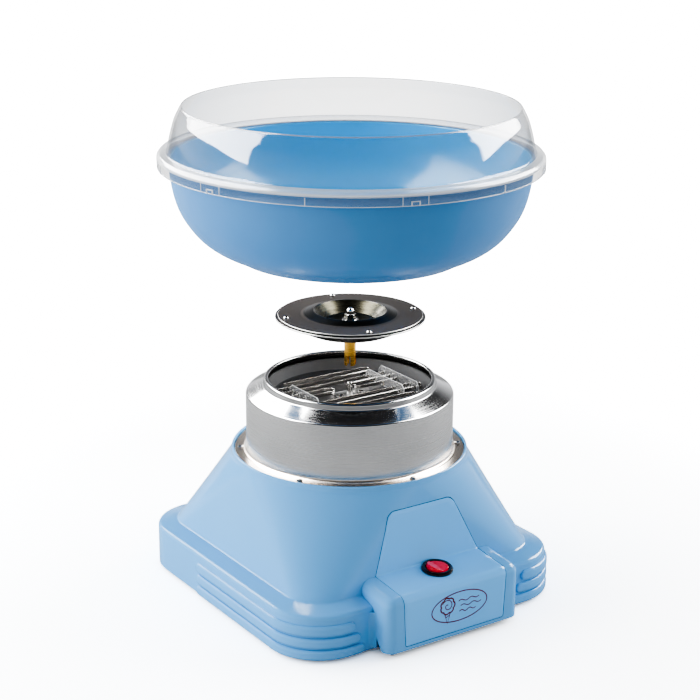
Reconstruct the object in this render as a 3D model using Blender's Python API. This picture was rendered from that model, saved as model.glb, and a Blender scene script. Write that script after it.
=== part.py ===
"""Table-top cotton candy machine, laid out along its axis as for cleaning.

Metres, +Z up. The origin is on the floor, under the spindle, and the console faces -Y.
The spinner head, the catch bowl and the splash shield are drawn lifted off the base; each
slides straight down its own axis to its working place.
"""

import math

import bmesh
import bpy
from mathutils import Matrix, Vector

MM = 0.001
GAP = 0.3 * MM                      # clearance between pieces that touch

# Base: plinth, tower, console
PLINTH_HALF = 121.8 * MM            # half the width of the square plinth
PLINTH_RADIUS = 40.0 * MM           # its corner radius, seen from above
BASE_SEGMENTS = 72                  # points round each level of the base
ROUND_SEGMENTS = 48                 # of the large turned pieces
SHELL_BOTTOM = 2.5 * MM
PLINTH_TOP = 37.0 * MM
PLINTH_EDGE = 2.4 * MM              # bevel along the plinth's upper edge
WALL = 2.5 * MM
TOWER_FOOT_HALF = 107.3 * MM
TOWER_FOOT_RADIUS = 29.0 * MM
TOWER_FOOT_Z = 40.0 * MM
TOWER_RIM_RADIUS = 91.8 * MM
TOWER_RIM_Z = 112.0 * MM
SEAT_Z = 109.0 * MM                 # ring inside the rim that carries the collar
SEAT_THICKNESS = 2.5 * MM
SEAT_INNER_RADIUS = 78.5 * MM
CONSOLE_HALF = 60.8 * MM
CONSOLE_FRONT = -140.8 * MM
CONSOLE_BOTTOM = 4.8 * MM
CONSOLE_ROUND = 8.0 * MM
SHELF_FRONT_Z = 47.05 * MM
SHELF_BACK_Z = 50.3 * MM
SHELF_BACK_Y = -105.3 * MM
CONSOLE_END_Y = -104.0 * MM         # where the console dies into the tower's wall

# Front panel
PANEL_HALF = 47.0 * MM              # at the shelf; it narrows a little towards the floor
PANEL_BOTTOM_Z = 8.2 * MM
PANEL_BOTTOM_HALF = 44.8 * MM
PANEL_TOP_Z = 93.5 * MM
PANEL_TOP_HALF = 28.5 * MM
PANEL_THICKNESS = 2.2 * MM
CUT_FRONT = -150.0 * MM             # cutters for the console start here, in front of it

# Collar
COLLAR_RADIUS = 80.6 * MM
COLLAR_SHEET = 1.0 * MM
MOUTH_RADIUS = 63.1 * MM
MOUTH_Z = 167.4 * MM
FLANGE_RADIUS = 89.7 * MM
FLANGE_TOP = 110.5 * MM
FLANGE_SCREW_RADIUS = 84.8 * MM
FLANGE_SCREWS = 6
LUG_HEIGHT = 1.8 * MM
LUG_SPREAD = 5.0                    # degrees to either side of the X axis

# Heater and motor
PAN_FLOOR_TOP = 152.0 * MM
PAN_FLOOR_RADIUS = 61.0 * MM
PAN_RIM_TOP = 160.8 * MM
PAN_SHEET = 1.0 * MM
PAN_HOLE_RADIUS = 3.0 * MM
RIBBON_Z = (153.4 * MM, 156.4 * MM)
RIBBON_THICKNESS = 0.6 * MM
MOTOR_RADIUS = 18.0 * MM
SHAFT_RADIUS = 2.0 * MM
SHAFT_Z = (84.0 * MM, 162.5 * MM)
DRIVE_PIN_Z = 161.0 * MM
SLOT_ANGLE = math.radians(-137.7)   # direction of the drive slots, from +X

# Spinner head, drawn lifted
DISC_RADIUS = 55.6 * MM
DISC_TOP = 217.8 * MM
PAN_EDGE_RADIUS = 57.7 * MM
RIVET_RADIUS = 50.5 * MM
SLEEVE_RADIUS = 4.5 * MM
SLEEVE_BORE = 2.35 * MM
SLEEVE_BOTTOM = 176.5 * MM

# Bowl and shield, drawn lifted
BOWL_BOTTOM = 265.8 * MM
BOWL_HOLE_RADIUS = 83.2 * MM
BOWL_RIM_TOP = 341.0 * MM
BEAD_RADIUS = 144.4 * MM
SKIRT_BOTTOM = 334.4 * MM
SHIELD_TOP = 379.0 * MM
SHIELD_MOUTH_RADIUS = 124.7 * MM

# Round switch on the shelf
ROCKER_RADIUS = 8.6 * MM
ROCKER_TILT = math.radians(10.0)    # rest position, right side pressed
SHELF_SLOPE = math.atan2(SHELF_BACK_Z - SHELF_FRONT_Z, SHELF_BACK_Y - CONSOLE_FRONT)
SWITCH_Y = -117.0 * MM
SWITCH_Z = SHELF_FRONT_Z + (SWITCH_Y - CONSOLE_FRONT) * math.tan(SHELF_SLOPE)


# ---------------------------------------------------------------- scene helpers

def clear_scene():
    for obj in list(bpy.data.objects):
        bpy.data.objects.remove(obj, do_unlink=True)


def material(name, color, roughness, metallic=0.0, alpha=1.0):
    mat = bpy.data.materials.new(name)
    mat.use_nodes = True
    shader = mat.node_tree.nodes["Principled BSDF"]
    shader.inputs["Base Color"].default_value = (*color, 1.0)
    shader.inputs["Roughness"].default_value = roughness
    shader.inputs["Metallic"].default_value = metallic
    shader.inputs["Alpha"].default_value = alpha
    return mat


def empty(name, location, rotation=(0.0, 0.0, 0.0)):
    obj = bpy.data.objects.new(name, None)
    obj.location = location
    obj.rotation_euler = rotation
    bpy.context.scene.collection.objects.link(obj)
    return obj


def add_object(name, bm, mat=None, smooth=True, parent=None):
    """Turn a bmesh into a named object whose faces point out."""
    bmesh.ops.recalc_face_normals(bm, faces=bm.faces)
    mesh = bpy.data.meshes.new(name)
    bm.to_mesh(mesh)
    bm.free()
    obj = bpy.data.objects.new(name, mesh)
    bpy.context.scene.collection.objects.link(obj)
    if mat is not None:
        mesh.materials.append(mat)
    if smooth:
        mesh.shade_smooth()
        mesh.set_sharp_from_angle(angle=math.radians(35.0))
    obj.parent = parent
    return obj


def make_cutter(obj):
    obj.hide_render = True
    obj.display_type = 'WIRE'
    return obj


def boolean(obj, tool, operation):
    mod = obj.modifiers.new(operation.lower(), 'BOOLEAN')
    mod.operation = operation
    mod.solver = 'EXACT'
    mod.object = make_cutter(tool)


# ---------------------------------------------------------------- shape helpers

def add_lathe(bm, profile, segments, center=(0.0, 0.0)):
    """Turn a closed (radius, z) outline about a vertical axis; radius 0 is on the axis.

    Every ring starts half a step round, so no point falls on the X or Y axis."""
    rings = []
    for radius, z in profile:
        if radius < 1e-7:
            rings.append([bm.verts.new((center[0], center[1], z))])
            continue
        ring = []
        for i in range(segments):
            angle = 2.0 * math.pi * (i + 0.5) / segments
            ring.append(bm.verts.new((center[0] + radius * math.cos(angle),
                                      center[1] + radius * math.sin(angle), z)))
        rings.append(ring)
    for a, b in zip(rings, rings[1:] + rings[:1]):
        join_rings(bm, a, b)


def join_rings(bm, a, b):
    """Faces between two rings of points, either of which may be a single pole."""
    if len(a) == 1 and len(b) == 1:
        return
    count = max(len(a), len(b))
    for i in range(count):
        j = (i + 1) % count
        if len(a) == 1:
            bm.faces.new((a[0], b[i], b[j]))
        elif len(b) == 1:
            bm.faces.new((a[i], b[0], a[j]))
        else:
            bm.faces.new((a[i], b[i], b[j], a[j]))


def lathe(name, profile, segments, mat=None, center=(0.0, 0.0), parent=None):
    bm = bmesh.new()
    add_lathe(bm, profile, segments, center)
    return add_object(name, bm, mat, parent=parent)


def add_prism(bm, outline, low, high, axis='Z'):
    """Extrude a 2-D outline along an axis; the outline's own axes follow X, Y, Z order."""
    def place(u, v, w):
        return {'X': (w, u, v), 'Y': (u, w, v), 'Z': (u, v, w)}[axis]
    bottom = [bm.verts.new(place(u, v, low)) for u, v in outline]
    top = [bm.verts.new(place(u, v, high)) for u, v in outline]
    bm.faces.new(bottom)
    bm.faces.new(top)
    for i in range(len(outline)):
        j = (i + 1) % len(outline)
        bm.faces.new((bottom[i], bottom[j], top[j], top[i]))


def prism(name, outline, low, high, mat=None, axis='Z', parent=None, smooth=False):
    bm = bmesh.new()
    add_prism(bm, outline, low, high, axis)
    return add_object(name, bm, mat, smooth=smooth, parent=parent)


def add_box(bm, low, high):
    outline = [(low[0], low[1]), (high[0], low[1]), (high[0], high[1]), (low[0], high[1])]
    add_prism(bm, outline, low[2], high[2])


def box(name, low, high, mat=None, parent=None):
    bm = bmesh.new()
    add_box(bm, low, high)
    return add_object(name, bm, mat, smooth=False, parent=parent)


def arc(center, radius, start, end, steps):
    """Points on an arc, angles in degrees."""
    points = []
    for i in range(steps + 1):
        angle = math.radians(start + (end - start) * i / steps)
        points.append((center[0] + radius * math.cos(angle),
                       center[1] + radius * math.sin(angle)))
    return points


def polar_rounded_square(half, radius, segments):
    """Outline of a square with rounded corners, as points at equal angles, for lofting."""
    core = half - radius
    points = []
    for i in range(segments):
        angle = 2.0 * math.pi * i / segments
        c, s = abs(math.cos(angle)), abs(math.sin(angle))
        reach = half / max(c, s)
        if min(c, s) * reach > core:
            along = core * (c + s)
            reach = along + math.sqrt(along * along - 2.0 * core * core + radius * radius)
        points.append((reach * math.cos(angle), reach * math.sin(angle)))
    return points


def screw_profile(head_top, head_radius, head_height, shank_radius, tip_z):
    """A pan-head screw that points down."""
    neck = head_top - head_height
    return [(0.0, head_top), (head_radius * 0.7, head_top - 0.15 * head_height),
            (head_radius, head_top - 0.5 * head_height), (head_radius, neck),
            (shank_radius, neck), (shank_radius, tip_z), (0.0, tip_z)]


# ---------------------------------------------------------------- base

BOSS_PLACES = [(sx * 112.0 * MM, sy * 52.0 * MM) for sx in (-1, 1) for sy in (-1, 1)]
BOSS_RADIUS = 4.5 * MM
BOSS_BORE = 1.8 * MM
PLATE_Z = (3.0 * MM, 5.0 * MM)
BOSS_TOP = 37.4 * MM              # ends inside the plinth's top
FOOT_PLACES = [(sx * 95.0 * MM, sy * 95.0 * MM) for sx in (-1, 1) for sy in (-1, 1)]
GROMMET_Z = 18.0 * MM
GROMMET_HOLE = 7.0 * MM


def base_shell(mat, parent):
    inner_foot = TOWER_FOOT_HALF - WALL
    levels = [
        (SHELL_BOTTOM, PLINTH_HALF, PLINTH_RADIUS),
        (PLINTH_TOP - PLINTH_EDGE, PLINTH_HALF, PLINTH_RADIUS),
        (PLINTH_TOP, PLINTH_HALF - PLINTH_EDGE, PLINTH_RADIUS - PLINTH_EDGE),
        (TOWER_FOOT_Z, TOWER_FOOT_HALF, TOWER_FOOT_RADIUS),
        (TOWER_RIM_Z - 4.0 * MM, TOWER_RIM_RADIUS + 0.5 * MM, TOWER_RIM_RADIUS + 0.5 * MM),
        (TOWER_RIM_Z, TOWER_RIM_RADIUS, TOWER_RIM_RADIUS),
        (TOWER_RIM_Z, FLANGE_RADIUS + GAP, FLANGE_RADIUS + GAP),
        (SEAT_Z, FLANGE_RADIUS + GAP, FLANGE_RADIUS + GAP),
        (SEAT_Z, SEAT_INNER_RADIUS, SEAT_INNER_RADIUS),
        (SEAT_Z - SEAT_THICKNESS, SEAT_INNER_RADIUS, SEAT_INNER_RADIUS),
        (SEAT_Z - SEAT_THICKNESS, TOWER_RIM_RADIUS - WALL, TOWER_RIM_RADIUS - WALL),
        (TOWER_FOOT_Z - WALL, inner_foot, TOWER_FOOT_RADIUS - WALL),
        (PLINTH_TOP - WALL, PLINTH_HALF - WALL, PLINTH_RADIUS - WALL),
        (SHELL_BOTTOM, PLINTH_HALF - WALL, PLINTH_RADIUS - WALL),
    ]
    bm = bmesh.new()
    rings = []
    for z, half, radius in levels:
        points = polar_rounded_square(half, radius, BASE_SEGMENTS)
        rings.append([bm.verts.new((x, y, z)) for x, y in points])
    for a, b in zip(rings, rings[1:] + rings[:1]):
        join_rings(bm, a, b)
    shell = add_object("base_shell", bm, mat, parent=parent)
    boolean(shell, console_block(), 'UNION')
    boolean(shell, console_hollow(), 'DIFFERENCE')
    boolean(shell, box("plinth_clearance", (-CONSOLE_HALF - GAP, WALL - PLINTH_HALF, 0.0),
                       (CONSOLE_HALF + GAP, -0.10, PLINTH_TOP - WALL)), 'DIFFERENCE')
    boolean(shell, screw_bosses(), 'UNION')
    boolean(shell, shell_holes(), 'DIFFERENCE')
    boolean(shell, prism("panel_opening", panel_outline(GAP), CUT_FRONT, -0.085, axis='Y'),
            'DIFFERENCE')
    return shell


def console_section(inset):
    """Front view of the console, with rounded upper corners, seen along Y."""
    half = CONSOLE_HALF - inset
    top = SHELF_BACK_Z + 1.0 * MM - inset
    radius = CONSOLE_ROUND - inset
    points = [(-half, CONSOLE_BOTTOM), (half, CONSOLE_BOTTOM)]
    points += arc((half - radius, top - radius), radius, 0.0, 90.0, 4)
    points += arc((radius - half, top - radius), radius, 90.0, 180.0, 4)
    return points


def console_profile(inset):
    """Side view of the console: front face, rounded bend and sloping shelf, (y, z)."""
    front = CONSOLE_FRONT + inset
    bend = 5.0 * MM - inset
    slope = math.tan(SHELF_SLOPE)
    shelf_at_bend = SHELF_FRONT_Z - inset + (bend + inset) * slope
    end_z = SHELF_FRONT_Z - inset + (CONSOLE_END_Y - CONSOLE_FRONT) * slope
    top_angle = 90.0 + math.degrees(SHELF_SLOPE)
    points = [(CONSOLE_END_Y, CONSOLE_BOTTOM), (CONSOLE_END_Y, end_z)]
    points += arc((front + bend, shelf_at_bend - bend), bend, top_angle, 180.0, 4)
    points.append((front, CONSOLE_BOTTOM))
    return points


def console_block():
    """The console's solid outside, rounded at its front upright edges as well."""
    block = prism("console_block", console_profile(0.0), -CONSOLE_HALF, CONSOLE_HALF, axis='X')
    boolean(block, prism("console_section", console_section(0.0), CUT_FRONT, -0.10, axis='Y'),
            'INTERSECT')
    r = CONSOLE_ROUND
    plan = [(CONSOLE_HALF, -0.10), (-CONSOLE_HALF, -0.10)]
    plan += arc((r - CONSOLE_HALF, CONSOLE_FRONT + r), r, 180.0, 270.0, 4)
    plan += arc((CONSOLE_HALF - r, CONSOLE_FRONT + r), r, 270.0, 360.0, 4)
    boolean(block, prism("console_plan", plan, 0.0, 0.06), 'INTERSECT')
    return block


def console_hollow():
    """Inside of the console, which opens into the plinth."""
    profile = [(-0.10, 0.0), (-0.10, PLINTH_TOP - WALL), (CONSOLE_END_Y, SHELF_FRONT_Z - WALL),
               (CONSOLE_FRONT + WALL + 4.0 * MM, SHELF_FRONT_Z - WALL),
               (CONSOLE_FRONT + WALL, SHELF_FRONT_Z - WALL - 4.0 * MM),
               (CONSOLE_FRONT + WALL, 0.0)]
    half = CONSOLE_HALF - WALL - 2.0 * MM
    return prism("console_hollow", profile, -half, half, axis='X')


def screw_bosses():
    bm = bmesh.new()
    for x, y in BOSS_PLACES:
        add_lathe(bm, [(BOSS_RADIUS, PLATE_Z[1] + GAP), (BOSS_RADIUS, BOSS_TOP),
                       (0.0, BOSS_TOP), (0.0, PLATE_Z[1] + GAP)], 12, (x, y))
    return add_object("screw_bosses", bm)


def flange_screw_places():
    places = []
    for k in range(FLANGE_SCREWS):
        angle = 2.0 * math.pi * k / FLANGE_SCREWS
        places.append((FLANGE_SCREW_RADIUS * math.sin(angle),
                       -FLANGE_SCREW_RADIUS * math.cos(angle)))
    return places


def shell_holes():
    """Boss bores, the six screw holes in the seat and the cord hole at the back."""
    bm = bmesh.new()
    for x, y in BOSS_PLACES:
        add_lathe(bm, [(BOSS_BORE, 0.0), (BOSS_BORE, 26.0 * MM), (0.0, 26.0 * MM), (0.0, 0.0)],
                  8, (x, y))
    for x, y in flange_screw_places():
        add_lathe(bm, [(1.7 * MM, 0.104), (1.7 * MM, 0.111), (0.0, 0.111), (0.0, 0.104)], 8,
                  (x, y))
    outline = arc((0.0, GROMMET_Z), GROMMET_HOLE, 11.25, 371.25, 16)[:-1]
    add_prism(bm, outline, PLINTH_HALF - 6.0 * MM, PLINTH_HALF + 4.0 * MM, axis='Y')
    return add_object("shell_holes", bm)


def base_plate(mat, parent):
    """Closes the underside; it runs forward into the console and has slots for air."""
    half = PLINTH_HALF - WALL - GAP
    outline = polar_rounded_square(half, PLINTH_RADIUS - WALL - GAP, BASE_SEGMENTS)
    plate = prism("base_plate", outline, *PLATE_Z, mat, parent=parent)
    tongue_half = CONSOLE_HALF - WALL - 2.5 * MM
    tongue = box("plate_tongue", (-tongue_half, CONSOLE_FRONT + WALL + GAP, PLATE_Z[0]),
                 (tongue_half, -0.110, PLATE_Z[1]))
    boolean(plate, tongue, 'UNION')
    bm = bmesh.new()
    for x, y in FOOT_PLACES:
        add_lathe(bm, [(3.8 * MM, 0.0), (3.8 * MM, 0.01), (0.0, 0.01), (0.0, 0.0)], 10, (x, y))
    for x, y in BOSS_PLACES:
        add_lathe(bm, [(1.8 * MM, 0.0), (1.8 * MM, 0.01), (0.0, 0.01), (0.0, 0.0)], 8, (x, y))
    for k in range(-2, 3):
        middle = k * 11.0 * MM
        add_box(bm, (middle - 2.0 * MM, -26.0 * MM, 0.0), (middle + 2.0 * MM, 26.0 * MM, 0.01))
    boolean(plate, add_object("plate_holes", bm), 'DIFFERENCE')
    return plate


def feet_and_screws(rubber, steel, parent):
    for k, (x, y) in enumerate(FOOT_PLACES, 1):
        profile = [(0.0, 0.0), (9.0 * MM, 0.0), (10.0 * MM, 1.0 * MM), (10.0 * MM, 2.7 * MM),
                   (3.5 * MM, 2.7 * MM), (3.5 * MM, 6.0 * MM), (0.0, 6.0 * MM)]
        lathe(f"foot_{k}", profile, 14, rubber, (x, y), parent)
    for k, (x, y) in enumerate(BOSS_PLACES, 1):
        head = PLATE_Z[0] - GAP
        profile = [(0.0, head - 1.6 * MM), (3.0 * MM, head - 1.2 * MM), (3.0 * MM, head),
                   (1.5 * MM, head), (1.5 * MM, 15.0 * MM), (0.0, 15.0 * MM)]
        lathe(f"base_screw_{k}", profile, 8, steel, (x, y), parent)


def cord_bush(mat, parent):
    """Empty strain-relief bush in the back wall of the plinth."""
    bm = bmesh.new()
    back = PLINTH_HALF
    inner = back - WALL
    profile = [(3.2 * MM, back + 5.0 * MM), (3.2 * MM, inner - 4.0 * MM),
               (6.5 * MM, inner - 4.0 * MM), (6.5 * MM, back + GAP),
               (9.5 * MM, back + GAP), (9.5 * MM, back + 2.0 * MM), (6.0 * MM, back + 5.0 * MM)]
    add_lathe(bm, profile, 16)
    turn = Matrix.Translation((0.0, 0.0, GROMMET_Z)) @ Matrix.Rotation(-math.pi / 2, 4, 'X')
    bmesh.ops.transform(bm, matrix=turn, verts=bm.verts)
    return add_object("cord_bush", bm, mat, parent=parent)


# ---------------------------------------------------------------- front panel and switch

def panel_outline(grow):
    """Front view of the panel: a rectangle below the fold, a trapezium above it."""
    half = PANEL_HALF + grow
    fold = SHELF_BACK_Z
    top = PANEL_TOP_Z + grow
    top_half = PANEL_TOP_HALF + grow
    lean = Vector((half - top_half, fold - top)).normalized()
    r = 8.0 * MM
    turn = math.degrees(math.atan2(-lean.y, lean.x))      # slope of the panel's side
    start = 90.0 - turn
    drop = r * math.tan(math.radians((90.0 - start) / 2.0))
    center = (top_half - drop, top - r)
    right = arc(center, r, start, 90.0, 4)
    left = [(-x, z) for x, z in reversed(right)]
    bottom = PANEL_BOTTOM_Z - grow
    foot = PANEL_BOTTOM_HALF + grow
    return [(-foot, bottom), (foot, bottom), (half, fold)] + right + left + [(-half, fold)]


def tower_front_y(z):
    share = (z - TOWER_FOOT_Z) / (TOWER_RIM_Z - 4.0 * MM - TOWER_FOOT_Z)
    return -(TOWER_FOOT_HALF + share * (TOWER_RIM_RADIUS + 0.5 * MM - TOWER_FOOT_HALF))


def front_panel(mat, parent):
    """A bent plate: up the console's face, back over the shelf and up the tower."""
    t = PANEL_THICKNESS
    bend = 5.0 * MM
    slope = math.tan(SHELF_SLOPE)
    top_angle = 90.0 + math.degrees(SHELF_SLOPE)
    shelf = SHELF_FRONT_Z + bend * slope
    top = PANEL_TOP_Z + 2.0 * MM
    fold_y = tower_front_y(SHELF_BACK_Z)
    outer = [(CONSOLE_FRONT, 0.0)]
    outer += arc((CONSOLE_FRONT + bend, shelf - bend), bend, 180.0, top_angle, 4)
    outer += [(fold_y, SHELF_BACK_Z), (tower_front_y(top), top)]
    inner = [(tower_front_y(top) + t, top), (fold_y + t, SHELF_BACK_Z - t)]
    inner += arc((CONSOLE_FRONT + bend, shelf - bend), bend - t, top_angle, 180.0, 4)
    inner += [(CONSOLE_FRONT + t, 0.0)]
    panel = prism("front_panel", outer + inner, -0.06, 0.06, mat, axis='X', parent=parent)
    boolean(panel, prism("panel_trim", panel_outline(0.0), CUT_FRONT, -0.085, axis='Y'), 'INTERSECT')
    boolean(panel, panel_clips(), 'UNION')
    boolean(panel, switch_hole(), 'DIFFERENCE')
    return panel


def panel_clips():
    """Four hooks inside the panel that reach behind the console's front wall."""
    bm = bmesh.new()
    root = CONSOLE_FRONT + 1.5 * MM
    wall_back = CONSOLE_FRONT + WALL + GAP
    end = wall_back + 2.0 * MM
    foot = PANEL_BOTTOM_HALF - 4.0 * MM
    edge = PANEL_BOTTOM_HALF - 0.6 * MM
    hook = PANEL_HALF + 3.0 * MM
    for side in (-1, 1):
        outline = [(foot, root), (edge, root), (edge, wall_back), (hook, wall_back),
                   (hook, end), (foot, end)]
        for z in (14.0 * MM, 32.0 * MM):
            add_prism(bm, [(side * x, y) for x, y in outline], z, z + 6.0 * MM)
    return add_object("panel_clips", bm)


def switch_frame():
    """World placement of the switch: origin on the shelf, local Z square to it."""
    return Matrix.Translation((0.0, SWITCH_Y, SWITCH_Z)) @ Matrix.Rotation(SHELF_SLOPE, 4, 'X')


def switch_hole():
    bm = bmesh.new()
    r = 10.3 * MM
    add_lathe(bm, [(r, -0.01), (r, 0.01), (0.0, 0.01), (0.0, -0.01)], 24)
    bmesh.ops.transform(bm, matrix=switch_frame(), verts=bm.verts)
    return add_object("switch_hole", bm)


def switch_body(mat, parent):
    """Round bezel and the cup below it that holds the rocker."""
    profile = [(0.0, -14.0), (10.0, -14.0), (10.0, 0.3), (12.0, 0.3), (12.0, 1.2), (11.0, 2.4),
               (9.0, 2.2), (9.0, -7.0), (0.0, -7.0)]
    bm = bmesh.new()
    add_lathe(bm, [(r * MM, z * MM) for r, z in profile], 24)
    bmesh.ops.transform(bm, matrix=switch_frame(), verts=bm.verts)
    return add_object("switch_body", bm, mat, parent=parent)


def switch_rocker(mat, parent):
    """Ball-sided rocker with a shallow V across its top; its origin is on the pivot."""
    r = ROCKER_RADIUS
    bottom = -5.5 * MM
    steps = 6
    low = math.degrees(math.asin(bottom / r))
    profile = [(0.0, bottom)] + arc((0.0, 0.0), r, low, 40.0, steps)
    profile.append((0.0, profile[-1][1]))
    bm = bmesh.new()
    add_lathe(bm, profile, 20)
    rocker = add_object("switch_rocker", bm, mat, parent=parent)
    rocker.rotation_euler = (0.0, ROCKER_TILT, 0.0)
    valley, rise, top = 1.6 * MM, 1.9 * MM, 9.0 * MM
    outline = [(-0.01, top), (-0.01, valley + rise), (0.0, valley), (0.01, valley + rise),
               (0.01, top)]
    cutter = prism("rocker_valley", outline, -0.01, 0.01, axis='Y', parent=parent)
    cutter.rotation_euler = (0.0, ROCKER_TILT, 0.0)
    boolean(rocker, cutter, 'DIFFERENCE')
    return rocker


# ---------------------------------------------------------------- collar

def collar(mat, parent):
    """One spun sheet: screw flange, cylinder, shoulder and rolled lip."""
    r, t = COLLAR_RADIUS, COLLAR_SHEET
    lug_low, lug_high = 113.2 * MM, 119.8 * MM
    lip = MOUTH_RADIUS
    profile = [
        (FLANGE_RADIUS, FLANGE_TOP), (r + 2.6 * MM, FLANGE_TOP), (r + 0.4 * MM, 111.8 * MM),
        (r, lug_low), (r, lug_high), (r, 120.3 * MM), (r, 153.8 * MM), (r - 0.8 * MM, 155.8 * MM),
        (67.2 * MM, 162.2 * MM), (66.6 * MM, 163.6 * MM), (66.6 * MM, 166.2 * MM),
        (lip + 1.6 * MM, MOUTH_Z), (lip, 166.8 * MM), (lip, 165.7 * MM), (65.6 * MM, 165.7 * MM),
        (65.6 * MM, 162.4 * MM), (r - 1.8 * MM, 154.8 * MM), (r - t, 153.4 * MM),
        (r - t, 111.6 * MM), (r + 2.0 * MM, SEAT_Z + GAP), (FLANGE_RADIUS, SEAT_Z + GAP),
    ]
    bm = bmesh.new()
    add_lathe(bm, profile, ROUND_SEGMENTS)
    for vert in bm.verts:
        angle = math.degrees(math.atan2(vert.co.y, vert.co.x)) % 180.0
        on_lug = angle < LUG_SPREAD or angle > 180.0 - LUG_SPREAD
        if on_lug and abs(vert.co.z - lug_high) < 0.01 * MM:
            flat = Vector((vert.co.x, vert.co.y, 0.0))
            vert.co += flat.normalized() * LUG_HEIGHT
    obj = add_object("collar", bm, mat, parent=parent)
    bm = bmesh.new()
    for x, y in flange_screw_places():
        add_lathe(bm, [(1.7 * MM, 0.105), (1.7 * MM, 0.115), (0.0, 0.115), (0.0, 0.105)], 8,
                  (x, y))
    boolean(obj, add_object("flange_holes", bm), 'DIFFERENCE')
    return obj


def collar_screws(mat, parent):
    head_top = FLANGE_TOP + GAP + 1.2 * MM
    profile = screw_profile(head_top, 2.4 * MM, 1.2 * MM, 1.4 * MM, 103.0 * MM)
    for k, place in enumerate(flange_screw_places(), 1):
        lathe(f"collar_screw_{k}", profile, 8, mat, place, parent)


# ---------------------------------------------------------------- heater

def heater_pan(mat, parent):
    """Steep-walled basin; its rim folds out under the lip and down inside the collar."""
    skirt = COLLAR_RADIUS - COLLAR_SHEET - GAP
    top, under = PAN_FLOOR_TOP, PAN_FLOOR_TOP - PAN_SHEET
    profile = [
        (PAN_HOLE_RADIUS, top), (PAN_FLOOR_RADIUS - PAN_SHEET, top), (64.4 * MM, PAN_RIM_TOP),
        (66.4 * MM, PAN_RIM_TOP), (skirt - 0.8 * MM, 154.3 * MM), (skirt, 153.0 * MM),
        (skirt, 150.0 * MM), (skirt - PAN_SHEET, 150.0 * MM), (skirt - PAN_SHEET, 153.0 * MM),
        (66.0 * MM, PAN_RIM_TOP - PAN_SHEET), (65.3 * MM, PAN_RIM_TOP - PAN_SHEET),
        (PAN_FLOOR_RADIUS, under), (PAN_HOLE_RADIUS, under),
    ]
    obj = lathe("heater_pan", profile, 30, mat, parent=parent)
    boolean(obj, plate_screw_holes("pan_holes"), 'DIFFERENCE')
    return obj


PLATE_SCREW_PLACES = [(-9.0 * MM, -2.0 * MM), (9.0 * MM, -2.0 * MM)]


def plate_screw_holes(name):
    bm = bmesh.new()
    for x, y in PLATE_SCREW_PLACES:
        add_lathe(bm, [(1.3 * MM, 0.149), (1.3 * MM, 0.155), (0.0, 0.155), (0.0, 0.149)], 8,
                  (x, y))
    return add_object(name, bm)


def bearing_plate(steel, parent):
    """Small plate that steadies the shaft in the middle of the pan, and its two screws."""
    low = PAN_FLOOR_TOP + GAP
    high = low + 0.8 * MM
    plate = box("bearing_plate", (-12.0 * MM, -8.0 * MM, low), (12.0 * MM, 8.0 * MM, high),
                steel, parent)
    holes = plate_screw_holes("plate_screw_holes")
    boolean(plate, holes, 'DIFFERENCE')
    boolean(plate, lathe("shaft_hole", [(2.4 * MM, 0.15), (2.4 * MM, 0.16), (0.0, 0.16),
                                        (0.0, 0.15)], 16), 'DIFFERENCE')
    profile = screw_profile(high + GAP + 1.2 * MM, 2.0 * MM, 1.2 * MM, 1.0 * MM, 149.6 * MM)
    for k, place in enumerate(PLATE_SCREW_PLACES, 1):
        lathe(f"plate_screw_{k}", profile, 10, steel, place, parent)


FRONT_ROWS = [-12.0, -21.0, -30.0, -39.0]
CENTER_ROWS = [4.0, 13.0, 22.0]
REAR_ROWS = [31.0, 40.0]


def hairpin(x, y_from, y_to, outward):
    """Half-turn between two rows; outward is +1 towards +X, -1 towards -X."""
    r = abs(y_to - y_from) / 2.0
    start = -90.0 if y_to > y_from else 90.0
    sweep = 180.0 if y_to > y_from else -180.0
    points = arc((0.0, 0.0), r, start, start + sweep, 6)
    return [(x + outward * px, (y_from + y_to) / 2.0 + py) for px, py in points]


def ribbon(name, route, mat, parent):
    """Flat strip on edge along a route of (x, y) points in millimetres."""
    half = RIBBON_THICKNESS / 2.0
    points = [Vector((x * MM, y * MM)) for x, y in route]
    bm = bmesh.new()
    stations = []
    for i, point in enumerate(points):
        before = (point - points[i - 1]).normalized() if i else None
        after = (points[i + 1] - point).normalized() if i + 1 < len(points) else None
        tangent = ((before or after) + (after or before)).normalized()
        side = Vector((-tangent.y, tangent.x)) * half
        stations.append([bm.verts.new((*(point + s * side), z))
                         for s, z in ((1, RIBBON_Z[0]), (-1, RIBBON_Z[0]),
                                      (-1, RIBBON_Z[1]), (1, RIBBON_Z[1]))])
    for a, b in zip(stations, stations[1:]):
        join_rings(bm, a, b)
    bm.faces.new(stations[0])
    bm.faces.new(stations[-1])
    return add_object(name, bm, mat, smooth=False, parent=parent)


def heating_ribbons(mat, parent):
    f, c, r = FRONT_ROWS, CENTER_ROWS, REAR_ROWS
    front = [(-54.0, f[0])] + hairpin(51.0, f[0], f[1], 1) + hairpin(-47.0, f[1], f[2], -1)
    front += hairpin(36.0, f[2], f[3], 1) + [(-40.0, f[3])]
    center = [(-56.0, c[0])] + hairpin(-14.0, c[0], c[1], 1) + hairpin(-50.5, c[1], c[2], -1)
    center += hairpin(50.5, c[2], c[1], 1) + hairpin(14.0, c[1], c[0], -1) + [(56.0, c[0])]
    rear = [(-46.0, r[0])] + hairpin(38.0, r[0], r[1], 1) + [(-36.0, r[1])]
    ribbon("heating_ribbon_front", front, mat, parent)
    ribbon("heating_ribbon_center", center, mat, parent)
    ribbon("heating_ribbon_rear", rear, mat, parent)


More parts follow.
